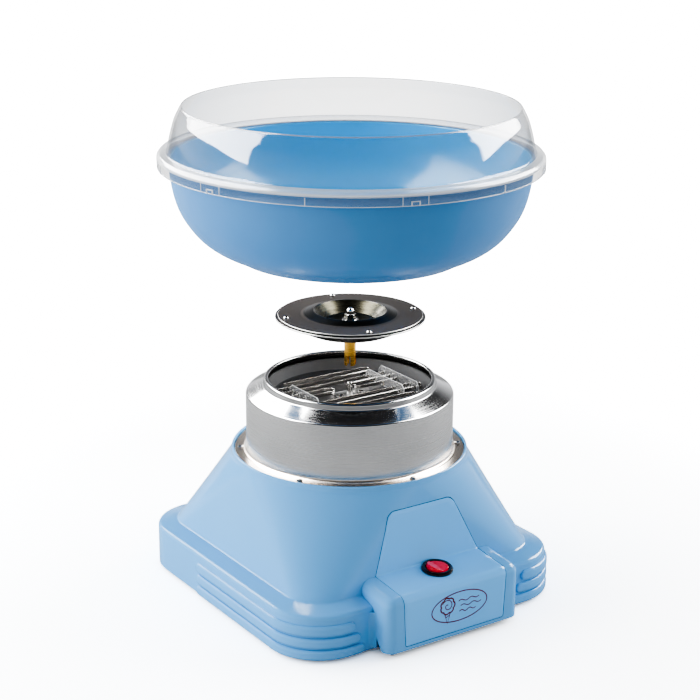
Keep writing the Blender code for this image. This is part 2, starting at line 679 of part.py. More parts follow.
def mica_comb(name, x, y_low, y_high, mat, parent):
    """Upright insulating plate, slotted from below where the ribbon's rows pass."""
    foot = PAN_FLOOR_TOP + GAP
    slot_top = RIBBON_Z[1] + 0.4 * MM
    top = 160.2 * MM
    slot_half = 0.7
    outline = [(y_low, foot)]
    for row in sorted(FRONT_ROWS + CENTER_ROWS + REAR_ROWS):
        if y_low + 2.0 < row < y_high - 2.0:
            outline += [(row - slot_half, foot), (row - slot_half, slot_top),
                        (row + slot_half, slot_top), (row + slot_half, foot)]
    outline += [(y_high, foot), (y_high, slot_top), (y_high - 3.0, top), (y_low + 3.0, top),
                (y_low, slot_top)]
    outline = [(y * MM, z) for y, z in outline]
    return prism(name, outline, (x - 0.4) * MM, (x + 0.4) * MM, mat, axis='X', parent=parent)


def heat_shield(mat, parent):
    skirt = COLLAR_RADIUS - COLLAR_SHEET - GAP
    profile = [(6.0 * MM, 147.0 * MM), (skirt, 147.0 * MM), (skirt, 149.6 * MM),
               (skirt - 0.8 * MM, 149.6 * MM), (skirt - 0.8 * MM, 147.8 * MM),
               (6.0 * MM, 147.8 * MM)]
    return lathe("heat_shield", profile, 24, mat, parent=parent)


# ---------------------------------------------------------------- motor

def motor(steel, dark, rubber, fan_mat, base, rotor):
    strap_top = SEAT_Z - SEAT_THICKNESS - GAP
    strap = box("motor_strap", (-15.0 * MM, -87.5 * MM, strap_top - 2.0 * MM),
                (15.0 * MM, 87.5 * MM, strap_top), steel, base)
    bm = bmesh.new()
    for x, y, r, n in ((0.0, 0.0, 9.0 * MM, 20), (0.0, -FLANGE_SCREW_RADIUS, 1.7 * MM, 8),
                       (0.0, FLANGE_SCREW_RADIUS, 1.7 * MM, 8)):
        add_lathe(bm, [(r, 0.10), (r, 0.11), (0.0, 0.11), (0.0, 0.10)], n, (x, y))
    boolean(strap, add_object("strap_holes", bm), 'DIFFERENCE')
    mount_top = strap_top + GAP + 3.0 * MM
    for k, x in enumerate((-12.5 * MM, 12.5 * MM), 1):
        profile = [(0.0, strap_top + GAP), (3.2 * MM, strap_top + GAP), (3.2 * MM, mount_top),
                   (0.0, mount_top)]
        lathe(f"motor_mount_{k}", profile, 12, rubber, (x, 0.0), base)
    low, r = mount_top + GAP, MOTOR_RADIUS
    housing = [(9.0 * MM, low), (r, low), (r, 141.0 * MM), (r - 1.5 * MM, 143.0 * MM),
               (5.0 * MM, 143.0 * MM), (5.0 * MM, 145.0 * MM), (2.35 * MM, 145.0 * MM),
               (2.35 * MM, 141.8 * MM), (r - 1.2 * MM, 141.8 * MM), (r - 1.2 * MM, low + 1.2 * MM),
               (9.0 * MM, low + 1.2 * MM)]
    lathe("motor_housing", housing, 20, steel, parent=base)
    lathe("motor_stator", [(13.6 * MM, 116.0 * MM), (16.5 * MM, 116.0 * MM),
                           (16.5 * MM, 138.0 * MM), (13.6 * MM, 138.0 * MM)], 20, dark,
          parent=base)
    lathe("motor_armature", [(2.3 * MM, 114.0 * MM), (5.5 * MM, 114.0 * MM),
                             (5.5 * MM, 117.0 * MM), (12.9 * MM, 117.0 * MM),
                             (12.9 * MM, 137.0 * MM), (2.3 * MM, 137.0 * MM)], 20, dark,
          parent=rotor)
    motor_shaft(steel, rotor)
    cooling_fan(fan_mat, rotor)


def motor_shaft(steel, rotor):
    r = SHAFT_RADIUS
    low, high = SHAFT_Z
    shaft = lathe("motor_shaft", [(0.0, low), (r, low), (r, high - 0.5 * MM),
                                  (r - 0.5 * MM, high), (0.0, high)], 16, steel, parent=rotor)
    turn = SLOT_ANGLE + math.pi / 2.0
    bm = bmesh.new()
    add_lathe(bm, [(1.2 * MM, -0.005), (1.2 * MM, 0.005), (0.0, 0.005), (0.0, -0.005)], 12)
    lay_across(bm, turn)
    boolean(shaft, add_object("pin_hole", bm), 'DIFFERENCE')
    bm = bmesh.new()
    half = 3.4 * MM
    add_lathe(bm, [(0.9 * MM, -half), (0.9 * MM, half), (0.0, half), (0.0, -half)], 12)
    lay_across(bm, turn)
    add_object("drive_pin", bm, steel, parent=rotor)


def lay_across(bm, turn):
    """Lay an upright turned shape through the shaft, along the direction turn."""
    place = (Matrix.Translation((0.0, 0.0, DRIVE_PIN_Z)) @ Matrix.Rotation(turn, 4, 'Z')
             @ Matrix.Rotation(math.pi / 2.0, 4, 'Y'))
    bmesh.ops.transform(bm, matrix=place, verts=bm.verts)


def cooling_fan(mat, rotor):
    """Hub with straight blades on the lower end of the shaft."""
    blades, hub, tip, half = 7, 6.0 * MM, 27.0 * MM, 0.7 * MM
    outline = []
    for k in range(blades):
        angle = 2.0 * math.pi * k / blades
        turn = Matrix.Rotation(angle, 2)
        root = math.sqrt(hub * hub - half * half)
        for x, y in ((root, -half), (tip, -half), (tip, half), (root, half)):
            outline.append(tuple(turn @ Vector((x, y))))
        middle = angle + math.pi / blades
        outline.append((hub * math.cos(middle), hub * math.sin(middle)))
    fan = prism("cooling_fan", outline, 88.0 * MM, 97.0 * MM, mat, parent=rotor)
    boolean(fan, lathe("fan_bore", [(2.3 * MM, 0.08), (2.3 * MM, 0.10), (0.0, 0.10),
                                    (0.0, 0.08)], 16), 'DIFFERENCE')


# ---------------------------------------------------------------- spinner head

def spinner_head(black, aluminium, brass, steel, parent):
    disc_edge, disc_top = DISC_RADIUS / MM, DISC_TOP / MM
    pan_edge = PAN_EDGE_RADIUS / MM
    bore, tube, tip = SLEEVE_BORE / MM, SLEEVE_RADIUS / MM, SLEEVE_BOTTOM / MM
    disc = [
        (2.7, 212.6), (17.0, 212.6), (26.2, 219.6), (28.3, 220.8), (30.2, 220.3),
        (37.5, disc_top), (disc_edge, disc_top), (disc_edge, disc_top - 0.9),
        (37.2, disc_top - 0.9), (28.5, 219.8), (26.9, 218.9), (17.5, 211.8), (2.7, 211.8),
    ]
    pan = [
        (pan_edge, 216.4), (pan_edge, 215.4), (47.8, 215.2), (38.0, 206.8), (33.0, 204.6),
        (2.7, 204.6), (2.7, 205.6), (32.6, 205.6), (37.3, 207.6), (47.2, 216.2),
    ]
    sleeve = [
        (bore, tip), (tube, tip), (tube, 204.3), (2.4, 204.3), (2.4, 216.6), (0.0, 216.6),
        (0.0, 200.0), (bore, 200.0),
    ]
    spacer = [(2.8, 205.9), (6.0, 205.9), (6.0, 211.5), (2.8, 211.5)]
    washer = [(2.8, 212.9), (6.5, 212.9), (6.5, 213.5), (2.8, 213.5)]

    def metres(profile):
        return [(r * MM, z * MM) for r, z in profile]

    pan_obj = lathe("head_pan", metres(pan), 30, aluminium, parent=parent)
    disc_obj = lathe("head_disc", metres(disc), 30, black, parent=parent)
    boolean(pan_obj, rivet_holes("pan_rivet_holes"), 'DIFFERENCE')
    boolean(disc_obj, rivet_holes("disc_rivet_holes"), 'DIFFERENCE')
    sleeve_obj = lathe("drive_sleeve", metres(sleeve), 20, brass, parent=parent)
    boolean(sleeve_obj, sleeve_slots(), 'DIFFERENCE')
    lathe("head_spacer", metres(spacer), 16, steel, parent=parent)
    lathe("head_washer", metres(washer), 20, steel, parent=parent)
    cap_nut(steel, parent)
    rivet = [(0.0, 219.4), (1.5, 219.2), (2.2, 218.1), (1.1, 218.1), (1.1, 214.9), (1.9, 214.9),
             (1.7, 213.9), (0.0, 213.9)]
    for k, (x, y) in enumerate(rivet_places(), 1):
        lathe(f"rivet_{k}", metres(rivet), 8, steel, (x, y), parent)


def rivet_places():
    first = math.radians(72.0)
    return [(RIVET_RADIUS * math.cos(first + k * math.pi / 2.0),
             RIVET_RADIUS * math.sin(first + k * math.pi / 2.0)) for k in range(4)]


def rivet_holes(name):
    bm = bmesh.new()
    for x, y in rivet_places():
        add_lathe(bm, [(1.4 * MM, 0.210), (1.4 * MM, 0.222), (0.0, 0.222), (0.0, 0.210)], 8,
                  (x, y))
    return add_object(name, bm)


def sleeve_slots():
    """Two crossed slots, so the head drops over the drive pin in any quarter turn."""
    half, reach, top = 1.45 * MM, 6.0 * MM, SLEEVE_BOTTOM + 8.5 * MM
    cross = [(half, half), (half, reach), (-half, reach), (-half, half), (-reach, half),
             (-reach, -half), (-half, -half), (-half, -reach), (half, -reach), (half, -half),
             (reach, -half), (reach, half)]
    turn = Matrix.Rotation(SLOT_ANGLE, 2)
    outline = [tuple(turn @ Vector(point)) for point in cross]
    return prism("sleeve_slots", outline, SLEEVE_BOTTOM - 2.0 * MM, top)


def cap_nut(mat, parent):
    """Acorn nut with a blind bore over the sleeve's threaded end."""
    low, shoulder, top = 213.8 * MM, 217.6 * MM, 222.6 * MM
    hexagon = [(4.6 * MM * math.cos(k * math.pi / 3.0), 4.6 * MM * math.sin(k * math.pi / 3.0))
               for k in range(6)]
    nut = prism("cap_nut", hexagon, low, shoulder, mat, parent=parent, smooth=True)
    dome = [(0.0, low + 1.0 * MM), (3.2 * MM, low + 1.0 * MM), (3.2 * MM, 219.6 * MM)]
    dome += arc((0.0, 219.4 * MM), 3.2 * MM, 20.0, 70.0, 3)
    dome.append((0.0, top))
    boolean(nut, lathe("nut_dome", dome, 16), 'UNION')
    boolean(nut, lathe("nut_bore", [(2.7 * MM, 0.21), (2.7 * MM, 0.2172), (0.0, 0.2172),
                                    (0.0, 0.21)], 12), 'DIFFERENCE')


# ---------------------------------------------------------------- bowl and shield

def catch_bowl(mat, parent):
    """Round-bottomed bowl with a lipped hole for the collar and a flat rim."""
    hole, rim = BOWL_HOLE_RADIUS / MM, BOWL_RIM_TOP / MM
    profile = [
        (hole, BOWL_BOTTOM / MM), (86.6, 265.9), (93.5, 269.8), (103.0, 274.3), (111.0, 279.4),
        (118.0, 286.3), (125.5, 296.3), (130.6, 306.7), (134.0, 320.5), (136.0, 338.6),
        (141.2, 338.8), (141.2, rim), (133.4, rim), (131.5, 320.9), (128.3, 307.7),
        (123.3, 297.6), (116.1, 287.9), (109.5, 281.4), (101.8, 276.5), (88.8, 270.1),
        (85.6, 270.1), (85.6, 273.6), (hole, 273.6),
    ]
    return lathe("catch_bowl", [(r * MM, z * MM) for r, z in profile], ROUND_SEGMENTS, mat,
                 parent=parent)


def splash_shield(mat, parent):
    """Clear ring: skirt and bead over the bowl's rim, wall that closes in to the mouth."""
    bead, mouth = BEAD_RADIUS / MM, SHIELD_MOUTH_RADIUS / MM
    skirt, top = SKIRT_BOTTOM / MM, SHIELD_TOP / MM
    profile = [
        (bead - 0.2, skirt), (bead, 341.2), (bead - 1.1, 343.6), (140.6, 344.9), (137.6, 345.2),
        (134.4, 357.0), (131.3, 368.0), (126.3, 378.4), (mouth + 0.8, top), (mouth, 378.3),
        (129.7, 367.5), (132.8, 356.5), (136.2, 343.0), (136.6, 341.3), (142.0, 341.3),
        (bead - 1.8, skirt),
    ]
    return lathe("splash_shield", [(r * MM, z * MM) for r, z in profile], ROUND_SEGMENTS, mat,
                 parent=parent)


# ---------------------------------------------------------------- assembly

def build():
    clear_scene()
    blue = material("pastel_abs", (0.38, 0.62, 0.78), 0.18)
    bowl_blue = material("bowl_plastic", (0.14, 0.44, 0.75), 0.22)
    clear = material("clear_plastic", (0.95, 0.97, 0.98), 0.05, alpha=0.25)
    stainless = material("stainless", (0.62, 0.62, 0.61), 0.25, 1.0)
    satin = material("satin_steel", (0.45, 0.45, 0.45), 0.4, 1.0)
    bright = material("bright_steel", (0.75, 0.74, 0.72), 0.12, 1.0)
    black_metal = material("black_coating", (0.03, 0.03, 0.03), 0.35, 0.4)
    aluminium = material("aluminium", (0.35, 0.34, 0.33), 0.35, 1.0)
    brass = material("brass", (0.80, 0.55, 0.18), 0.25, 1.0)
    rubber = material("rubber", (0.30, 0.30, 0.31), 0.7)
    black_plastic = material("black_plastic", (0.02, 0.02, 0.022), 0.3)
    red = material("red_plastic", (0.75, 0.02, 0.05), 0.2)
    mica = material("mica", (0.62, 0.60, 0.55), 0.3, alpha=0.6)
    nichrome = material("nichrome", (0.35, 0.34, 0.33), 0.3, 1.0)
    winding = material("winding", (0.20, 0.10, 0.05), 0.5, 0.3)

    base = empty("base_axis", (0.0, 0.0, 0.0))
    rotor = empty("motor_axis", (0.0, 0.0, 0.0))
    head = empty("head_axis", (0.0, 0.0, 0.0))
    bowl = empty("bowl_axis", (0.0, 0.0, 0.0))
    shield = empty("shield_axis", (0.0, 0.0, 0.0))
    pivot = empty("rocker_axis", switch_frame() @ Vector((0.0, 0.0, 0.8 * MM)),
                  (SHELF_SLOPE, 0.0, 0.0))

    base_shell(blue, base)
    base_plate(blue, base)
    feet_and_screws(rubber, bright, base)
    cord_bush(black_plastic, base)
    front_panel(blue, base)
    switch_body(black_plastic, base)
    switch_rocker(red, pivot)
    collar(stainless, base)
    collar_screws(bright, base)
    heater_pan(satin, base)
    bearing_plate(bright, base)
    heating_ribbons(nichrome, base)
    for name, x, y_low, y_high in (("mica_left", -38.0, -15.0, 27.0),
                                   ("mica_middle", 34.0, -25.0, 27.0),
                                   ("mica_right", 48.0, -25.0, 29.0)):
        mica_comb(name, x, y_low, y_high, mica, base)
    heat_shield(satin, base)
    lathe("thermal_cutout", [(0.0, 148.1 * MM), (6.0 * MM, 148.1 * MM), (6.0 * MM, 150.7 * MM),
                             (0.0, 150.7 * MM)], 16, black_plastic, (30.0 * MM, 0.0), base)
    box("terminal_block", (-62.0 * MM, 34.0 * MM, PLATE_Z[1] + GAP),
        (-38.0 * MM, 48.0 * MM, 17.0 * MM), black_plastic, base)
    motor(satin, winding, rubber, black_plastic, base, rotor)
    spinner_head(black_metal, aluminium, brass, bright, head)
    catch_bowl(bowl_blue, bowl)
    splash_shield(clear, shield)


build()
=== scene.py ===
import math

import bmesh
import bpy
from mathutils import Matrix, Vector


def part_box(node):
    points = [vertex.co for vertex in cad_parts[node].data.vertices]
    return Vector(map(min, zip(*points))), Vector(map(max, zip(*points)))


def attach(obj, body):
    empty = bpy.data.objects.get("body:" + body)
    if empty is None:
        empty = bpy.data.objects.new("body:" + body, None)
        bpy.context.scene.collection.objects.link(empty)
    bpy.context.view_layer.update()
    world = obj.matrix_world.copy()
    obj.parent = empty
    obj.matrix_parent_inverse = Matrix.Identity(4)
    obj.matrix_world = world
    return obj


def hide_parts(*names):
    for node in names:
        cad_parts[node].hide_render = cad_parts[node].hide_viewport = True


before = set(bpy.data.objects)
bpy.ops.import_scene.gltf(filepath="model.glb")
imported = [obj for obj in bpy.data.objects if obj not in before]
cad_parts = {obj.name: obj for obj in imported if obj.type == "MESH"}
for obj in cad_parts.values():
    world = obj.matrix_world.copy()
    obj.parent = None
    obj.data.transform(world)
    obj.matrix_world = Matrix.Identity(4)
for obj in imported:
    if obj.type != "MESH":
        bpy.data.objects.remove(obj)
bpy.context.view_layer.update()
scene = bpy.context.scene

MM = 0.001
TURN = 2.0 * math.pi
QUARTER = math.pi / 2.0
STEP_ANGLE = math.radians(9.0)      # one facet of a rounded outline
SHARP = math.radians(38.0)
SOFT = math.radians(50.0)           # for profiles that bend by larger steps


# ---- frame measures

def center_of(node):
    """Middle of a frame node's box, seen from above, in millimetres."""
    low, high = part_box(node)
    return tuple(((low + high) / 2.0 / MM).to_2d())


shell_low, shell_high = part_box("base_shell")
PLINTH = (shell_high.x - shell_low.x) / 2.0 / MM    # half of its width
CONSOLE_FRONT = shell_low.y / MM
SHELL_BOTTOM = shell_low.z / MM
RIM_TOP = shell_high.z / MM


# ---- camera, light, floor

CAMERA_AZIMUTH = math.radians(-34.2)
CAMERA_DISTANCE = 1.293
CAMERA_HEIGHT = 0.606
CAMERA_PITCH = math.radians(17.9)
CAMERA_ROLL = math.radians(0.4)
CAMERA_LENS = 90.72

EXPOSURE = 0.6
AMBIENT = 0.36
HORIZON_END = 0.42                  # sine of the height at which the pale horizon has faded
BACKDROP = 4.0
BACKDROP_THROUGH_PLASTIC = 1.45
FLOOR_RADIUS = 9.0
FLOOR_FADE = (0.35, 0.9)            # distances between which the floor turns into backdrop
FLOOR_WHITE = 3.2                   # as the eye sees it
FLOOR_BOUNCE = 0.6                  # as diffuse surfaces see it
FLOOR_SHEEN = 0.5                   # as reflections show it

# name: start and end angle in degrees, distance, lowest and highest point in metres, radiance
FILL_BOXES = {
    "left_box": (-140.0, -50.0, 1.0, 0.02, 0.85, 2.9),
    "right_box": (80.0, 140.0, 1.0, 0.02, 0.85, 2.4),
    "panel_fill": (-10.0, 70.0, 1.0, 0.1, 1.3, 0.35),
}
SHEEN_BOXES = {
    "left_back_sheen": (-150.0, -104.0, 0.8, 0.50, 1.7, 12.0),
    "left_sheen": (-104.0, -62.0, 0.8, 0.50, 1.7, 12.0),
    "right_sheen": (84.0, 134.0, 0.9, 0.48, 1.7, 12.0),
    "left_edge_sheen": (-138.0, -104.0, 0.9, 0.33, 0.9, 7.0),
    "right_edge_sheen": (104.0, 144.0, 0.9, 0.33, 0.9, 14.0),
}
CEILING_HEIGHT, CEILING_SIDE, CEILING_RADIANCE = 1.6, 0.5, 5.0


def camera_axes():
    a, t, r = CAMERA_AZIMUTH, CAMERA_PITCH, CAMERA_ROLL
    level = Vector((-math.sin(a), math.cos(a), 0.0))
    side = Vector((math.cos(a), math.sin(a), 0.0))
    ahead = level * math.cos(t) - Vector((0.0, 0.0, math.sin(t)))
    up = level * math.sin(t) + Vector((0.0, 0.0, math.cos(t)))
    return (side * math.cos(r) + up * math.sin(r), up * math.cos(r) - side * math.sin(r),
            ahead)


def add_camera():
    right, up, ahead = camera_axes()
    data = bpy.data.cameras.new("camera")
    data.lens = CAMERA_LENS
    data.clip_end = 50.0
    camera = bpy.data.objects.new("camera", data)
    scene.collection.objects.link(camera)
    place = Matrix((right, up, -ahead)).transposed().to_4x4()
    place.translation = (CAMERA_DISTANCE * math.sin(CAMERA_AZIMUTH),
                         -CAMERA_DISTANCE * math.cos(CAMERA_AZIMUTH), CAMERA_HEIGHT)
    camera.matrix_world = place
    scene.camera = camera


def add_softbox(name, start, end, distance, low, high, radiance, diffuse=True, glossy=True):
    """Upright light panel between two angles in degrees; 0 is the camera's side."""
    middle, half = math.radians(start + end) / 2.0, abs(math.radians(end - start)) / 2.0
    turn = CAMERA_AZIMUTH + middle
    away = Vector((math.sin(turn), -math.cos(turn), 0.0))
    data = bpy.data.lights.new(name, 'AREA')
    data.shape = 'RECTANGLE'
    data.size = 2.0 * distance * math.tan(half)
    data.size_y = high - low
    data.energy = radiance * math.pi * data.size * data.size_y
    light = bpy.data.objects.new(name, data)
    place = Matrix.Translation(away * distance + Vector((0.0, 0.0, (low + high) / 2.0)))
    light.matrix_world = place @ away.to_track_quat('Z', 'Y').to_matrix().to_4x4()
    light.visible_diffuse = diffuse
    light.visible_glossy = glossy
    scene.collection.objects.link(light)


def add_ceiling(name):
    """Small square light straight above, for diffuse surfaces only."""
    data = bpy.data.lights.new(name, 'AREA')
    data.size = CEILING_SIDE
    data.energy = CEILING_RADIANCE * math.pi * CEILING_SIDE ** 2
    light = bpy.data.objects.new(name, data)
    light.location = (0.0, 0.0, CEILING_HEIGHT)
    light.visible_glossy = False
    scene.collection.objects.link(light)


class Nodes:
    """Short calls that build a shader tree."""

    def __init__(self, tree):
        self.tree = tree

    def node(self, kind, **inputs):
        made = self.tree.nodes.new(f"ShaderNode{kind}")
        for key, value in inputs.items():
            made.inputs[key.replace("_", " ")].default_value = value
        return made

    def link(self, a, b):
        self.tree.links.new(a, b)

    def remap(self, value, low, high, start=0.3, end=0.7):
        made = self.node("MapRange", From_Min=start, From_Max=end, To_Min=low, To_Max=high)
        self.link(value, made.inputs["Value"])
        return made.outputs["Result"]

    def mixed(self, share, first, second):
        """Shader that goes from the first to the second as share goes from 0 to 1."""
        made = self.node("MixShader")
        for source, target in zip((share, first, second), made.inputs):
            self.link(source, target)
        return made.outputs[0]

    def backdrop_strength(self, path):
        """The backdrop's radiance, lower where it is seen through clear plastic."""
        return self.remap(path["Transparent Depth"], BACKDROP, BACKDROP_THROUGH_PLASTIC, 0.0, 1.0)


def add_world():
    """White backdrop for the eye, a dim room with a pale horizon for the reflections."""
    world = bpy.data.worlds.new("studio")
    world.use_nodes = True
    scene.world = world
    world.node_tree.nodes.clear()
    sky = Nodes(world.node_tree)
    path = sky.node("LightPath").outputs
    split = sky.node("SeparateXYZ")
    sky.link(sky.node("TexCoord").outputs["Generated"], split.inputs[0])
    ramp = sky.node("ValToRGB")
    horizon, above = ramp.color_ramp.elements
    horizon.position, horizon.color = 0.0, (0.75, 0.76, 0.78, 1.0)
    above.position, above.color = HORIZON_END, (0.02, 0.02, 0.022, 1.0)
    sky.link(split.outputs["Z"], ramp.inputs[0])
    room = sky.node("Background")
    sky.link(ramp.outputs[0], room.inputs["Color"])
    ambient = sky.node("Background", Color=(0.96, 0.98, 1.0, 1.0), Strength=AMBIENT)
    backdrop = sky.node("Background", Color=(1.0, 1.0, 1.0, 1.0))
    sky.link(sky.backdrop_strength(path), backdrop.inputs["Strength"])
    unseen = sky.mixed(path["Is Diffuse Ray"], room.outputs[0], ambient.outputs[0])
    sky.link(sky.mixed(path["Is Camera Ray"], unseen, backdrop.outputs[0]),
             sky.node("OutputWorld").inputs[0])


def add_floor():
    """White floor that keeps soft shadows near the object and fades into the backdrop."""
    bm = bmesh.new()
    bmesh.ops.create_circle(bm, cap_ends=True, radius=FLOOR_RADIUS, segments=96)
    mesh = bpy.data.meshes.new("floor")
    bm.to_mesh(mesh)
    bm.free()
    floor = bpy.data.objects.new("floor", mesh)
    scene.collection.objects.link(floor)
    mat = bpy.data.materials.new("floor_sweep")
    mat.use_nodes = True
    mat.node_tree.nodes.clear()
    sweep = Nodes(mat.node_tree)
    path = sweep.node("LightPath").outputs
    distance = sweep.node("VectorMath")
    distance.operation = 'LENGTH'
    sweep.link(sweep.node("TexCoord").outputs["Object"], distance.inputs[0])
    fade = sweep.remap(distance.outputs["Value"], 0.0, 1.0, *FLOOR_FADE)
    near, bounce, sheen = (sweep.node("BsdfDiffuse", Color=(*(white,) * 3, 1.0)).outputs[0]
                           for white in (FLOOR_WHITE, FLOOR_BOUNCE, FLOOR_SHEEN))
    glow = sweep.node("Emission")
    sweep.link(sweep.backdrop_strength(path), glow.inputs["Strength"])
    seen = sweep.mixed(fade, near, glow.outputs[0])
    unseen = sweep.mixed(path["Is Glossy Ray"], bounce, sheen)
    sweep.link(sweep.mixed(path["Is Camera Ray"], unseen, seen),
               sweep.node("OutputMaterial").inputs[0])
    mesh.materials.append(mat)


# ---- mesh helpers

def rounded(points):
    """Outline through (u, v) or (u, v, fillet radius) points, fillets worked out as arcs."""
    result = []
    count = len(points)
    for i, point in enumerate(points):
        here = Vector(point[:2])
        radius = point[2] if len(point) > 2 else 0.0
        if radius <= 0.0:
            result.append(tuple(here))
            continue
        before = (here - Vector(points[i - 1][:2])).normalized()
        after = (Vector(points[(i + 1) % count][:2]) - here).normalized()
        turn = before.angle_signed(after)
        bend = abs(turn)
        reach = radius * math.tan(bend / 2.0)
        start = here - before * reach
        side = 1.0 if before.x * after.y - before.y * after.x > 0.0 else -1.0
        center = start + Vector((-before.y, before.x)) * radius * side
        steps = max(2, math.ceil(bend / STEP_ANGLE))
        spoke = start - center
        for k in range(steps + 1):
            result.append(tuple(center + Matrix.Rotation(side * bend * k / steps, 2) @ spoke))
    return result


def curve_through(points, steps):
    """Catmull-Rom curve through an open list of points."""
    ends = [2 * Vector(points[0]) - Vector(points[1])]
    tail = [2 * Vector(points[-1]) - Vector(points[-2])]
    knots = ends + [Vector(p) for p in points] + tail
    result = []
    for i in range(1, len(knots) - 2):
        p0, p1, p2, p3 = knots[i - 1:i + 3]
        for k in range(steps):
            t = k / steps
            result.append(tuple(0.5 * (2 * p1 + (p2 - p0) * t
                                       + (2 * p0 - 5 * p1 + 4 * p2 - p3) * t * t
                                       + (3 * p1 - p0 - 3 * p2 + p3) * t ** 3)))
    result.append(tuple(points[-1]))
    return result


def finish_piece(bm, name, mat, body, replaces=(), sharp=SHARP):
    """Millimetre bmesh to a named piece that rides on a body."""
    bmesh.ops.scale(bm, vec=(MM, MM, MM), verts=bm.verts)
    bmesh.ops.recalc_face_normals(bm, faces=bm.faces)
    mesh = bpy.data.meshes.new(name)
    bm.to_mesh(mesh)
    bm.free()
    mesh.shade_smooth()
    mesh.set_sharp_from_angle(angle=sharp)
    obj = bpy.data.objects.new(name, mesh)
    scene.collection.objects.link(obj)
    if mat is not None:
        mesh.materials.append(mat)
        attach(obj, body)
    for node in replaces:
        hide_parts(node)
    return obj


def join_rings(bm, a, b):
    if len(a) == 1 and len(b) == 1:
        return
    count = max(len(a), len(b))
    for i in range(count):
        j = (i + 1) % count
        if len(a) == 1:
            bm.faces.new((a[0], b[i], b[j]))
        elif len(b) == 1:
            bm.faces.new((a[i], b[0], a[j]))
        else:
            bm.faces.new((a[i], b[i], b[j], a[j]))


def add_lathe(bm, profile, segments, center=(0.0, 0.0)):
    """Turn a closed (radius, z) outline. A radius of 0 is a point on the axis, and a function
    gives the radius at each angle."""
    rings = []
    for radius, z in profile:
        if radius == 0.0:
            rings.append([bm.verts.new((*center, z))])
            continue
        ring = []
        for i in range(segments):
            angle = TURN * i / segments
            r = radius(angle) if callable(radius) else radius
            ring.append(bm.verts.new((center[0] + r * math.cos(angle),
                                      center[1] + r * math.sin(angle), z)))
        rings.append(ring)
    for a, b in zip(rings, rings[1:] + rings[:1]):
        join_rings(bm, a, b)


def add_strip(bm, rings):
    """Tube through the rings, closed at both ends."""
    for a, b in zip(rings, rings[1:]):
        join_rings(bm, a, b)
    bm.faces.new(rings[0])
    bm.faces.new(rings[-1])


def add_grid(bm, rows):
    for a, b in zip(rows, rows[1:]):
        for i in range(len(a) - 1):
            bm.faces.new((a[i], a[i + 1], b[i + 1], b[i]))


def add_prism(bm, outline, low, high, axis):
    """Raise an outline along an axis; its points are along the other two, in order."""
    def place(u, v, w):
        return {'Y': (u, w, v), 'Z': (u, v, w)}[axis]
    bottom = [bm.verts.new(place(u, v, low)) for u, v in outline]
    top = [bm.verts.new(place(u, v, high)) for u, v in outline]
    bm.faces.new(bottom)
    bm.faces.new(top)
    for i in range(len(outline)):
        j = (i + 1) % len(outline)
        bm.faces.new((bottom[i], bottom[j], top[j], top[i]))


def cut(obj, bm, operation='DIFFERENCE'):
    """Boolean with a millimetre bmesh, applied at once; new faces take the piece's material."""
    mat = obj.data.materials[0]
    tool = finish_piece(bm, "tool", None, None)
    mod = obj.modifiers.new("cut", 'BOOLEAN')
    mod.operation = operation
    mod.solver = 'EXACT'
    mod.object = tool
    apply_modifiers(obj)
    bpy.data.objects.remove(tool)
    obj.data.materials.clear()
    obj.data.materials.append(mat)


def bore(obj, outline, segments, center=(0.0, 0.0), place=Matrix.Identity(4)):
    """Cut away a lathed shape."""
    bm = bmesh.new()
    add_lathe(bm, outline, segments, center)
    bmesh.ops.transform(bm, matrix=place, verts=bm.verts)
    cut(obj, bm)


def cut_prism(obj, outline, low, high, axis, place=Matrix.Identity(4), operation='DIFFERENCE'):
    bm = bmesh.new()
    add_prism(bm, outline, low, high, axis)
    bmesh.ops.transform(bm, matrix=place, verts=bm.verts)
    cut(obj, bm, operation)


def apply_modifiers(obj):
    graph = bpy.context.evaluated_depsgraph_get()
    mesh = bpy.data.meshes.new_from_object(obj.evaluated_get(graph))
    obj.modifiers.clear()
    obj.data = mesh
    mesh.shade_smooth()
    mesh.set_sharp_from_angle(angle=SHARP)


def bevel(obj, width, angle=40.0):
    mod = obj.modifiers.new("bevel", 'BEVEL')
    mod.width = width * MM
    mod.segments = 2
    mod.limit_method = 'ANGLE'
    mod.angle_limit = math.radians(angle)
    mod.harden_normals = False
    apply_modifiers(obj)


def turned(name, profile, mat, body, node, segments=160, center=(0.0, 0.0), sharp=SHARP):
    """Lathed piece in place of a frame node."""
    bm = bmesh.new()
    add_lathe(bm, rounded(profile), segments, center)
    return finish_piece(bm, name, mat, body, (node,), sharp)


# ---- materials

PAINTED_SHADE_REACH = 2.5                  # how far round a point hollows are looked for, for the painted shade in grooves
PAINTED_SHADE_SPAN = (0.1, 0.75)           # openness between which the painted groove shade fades out
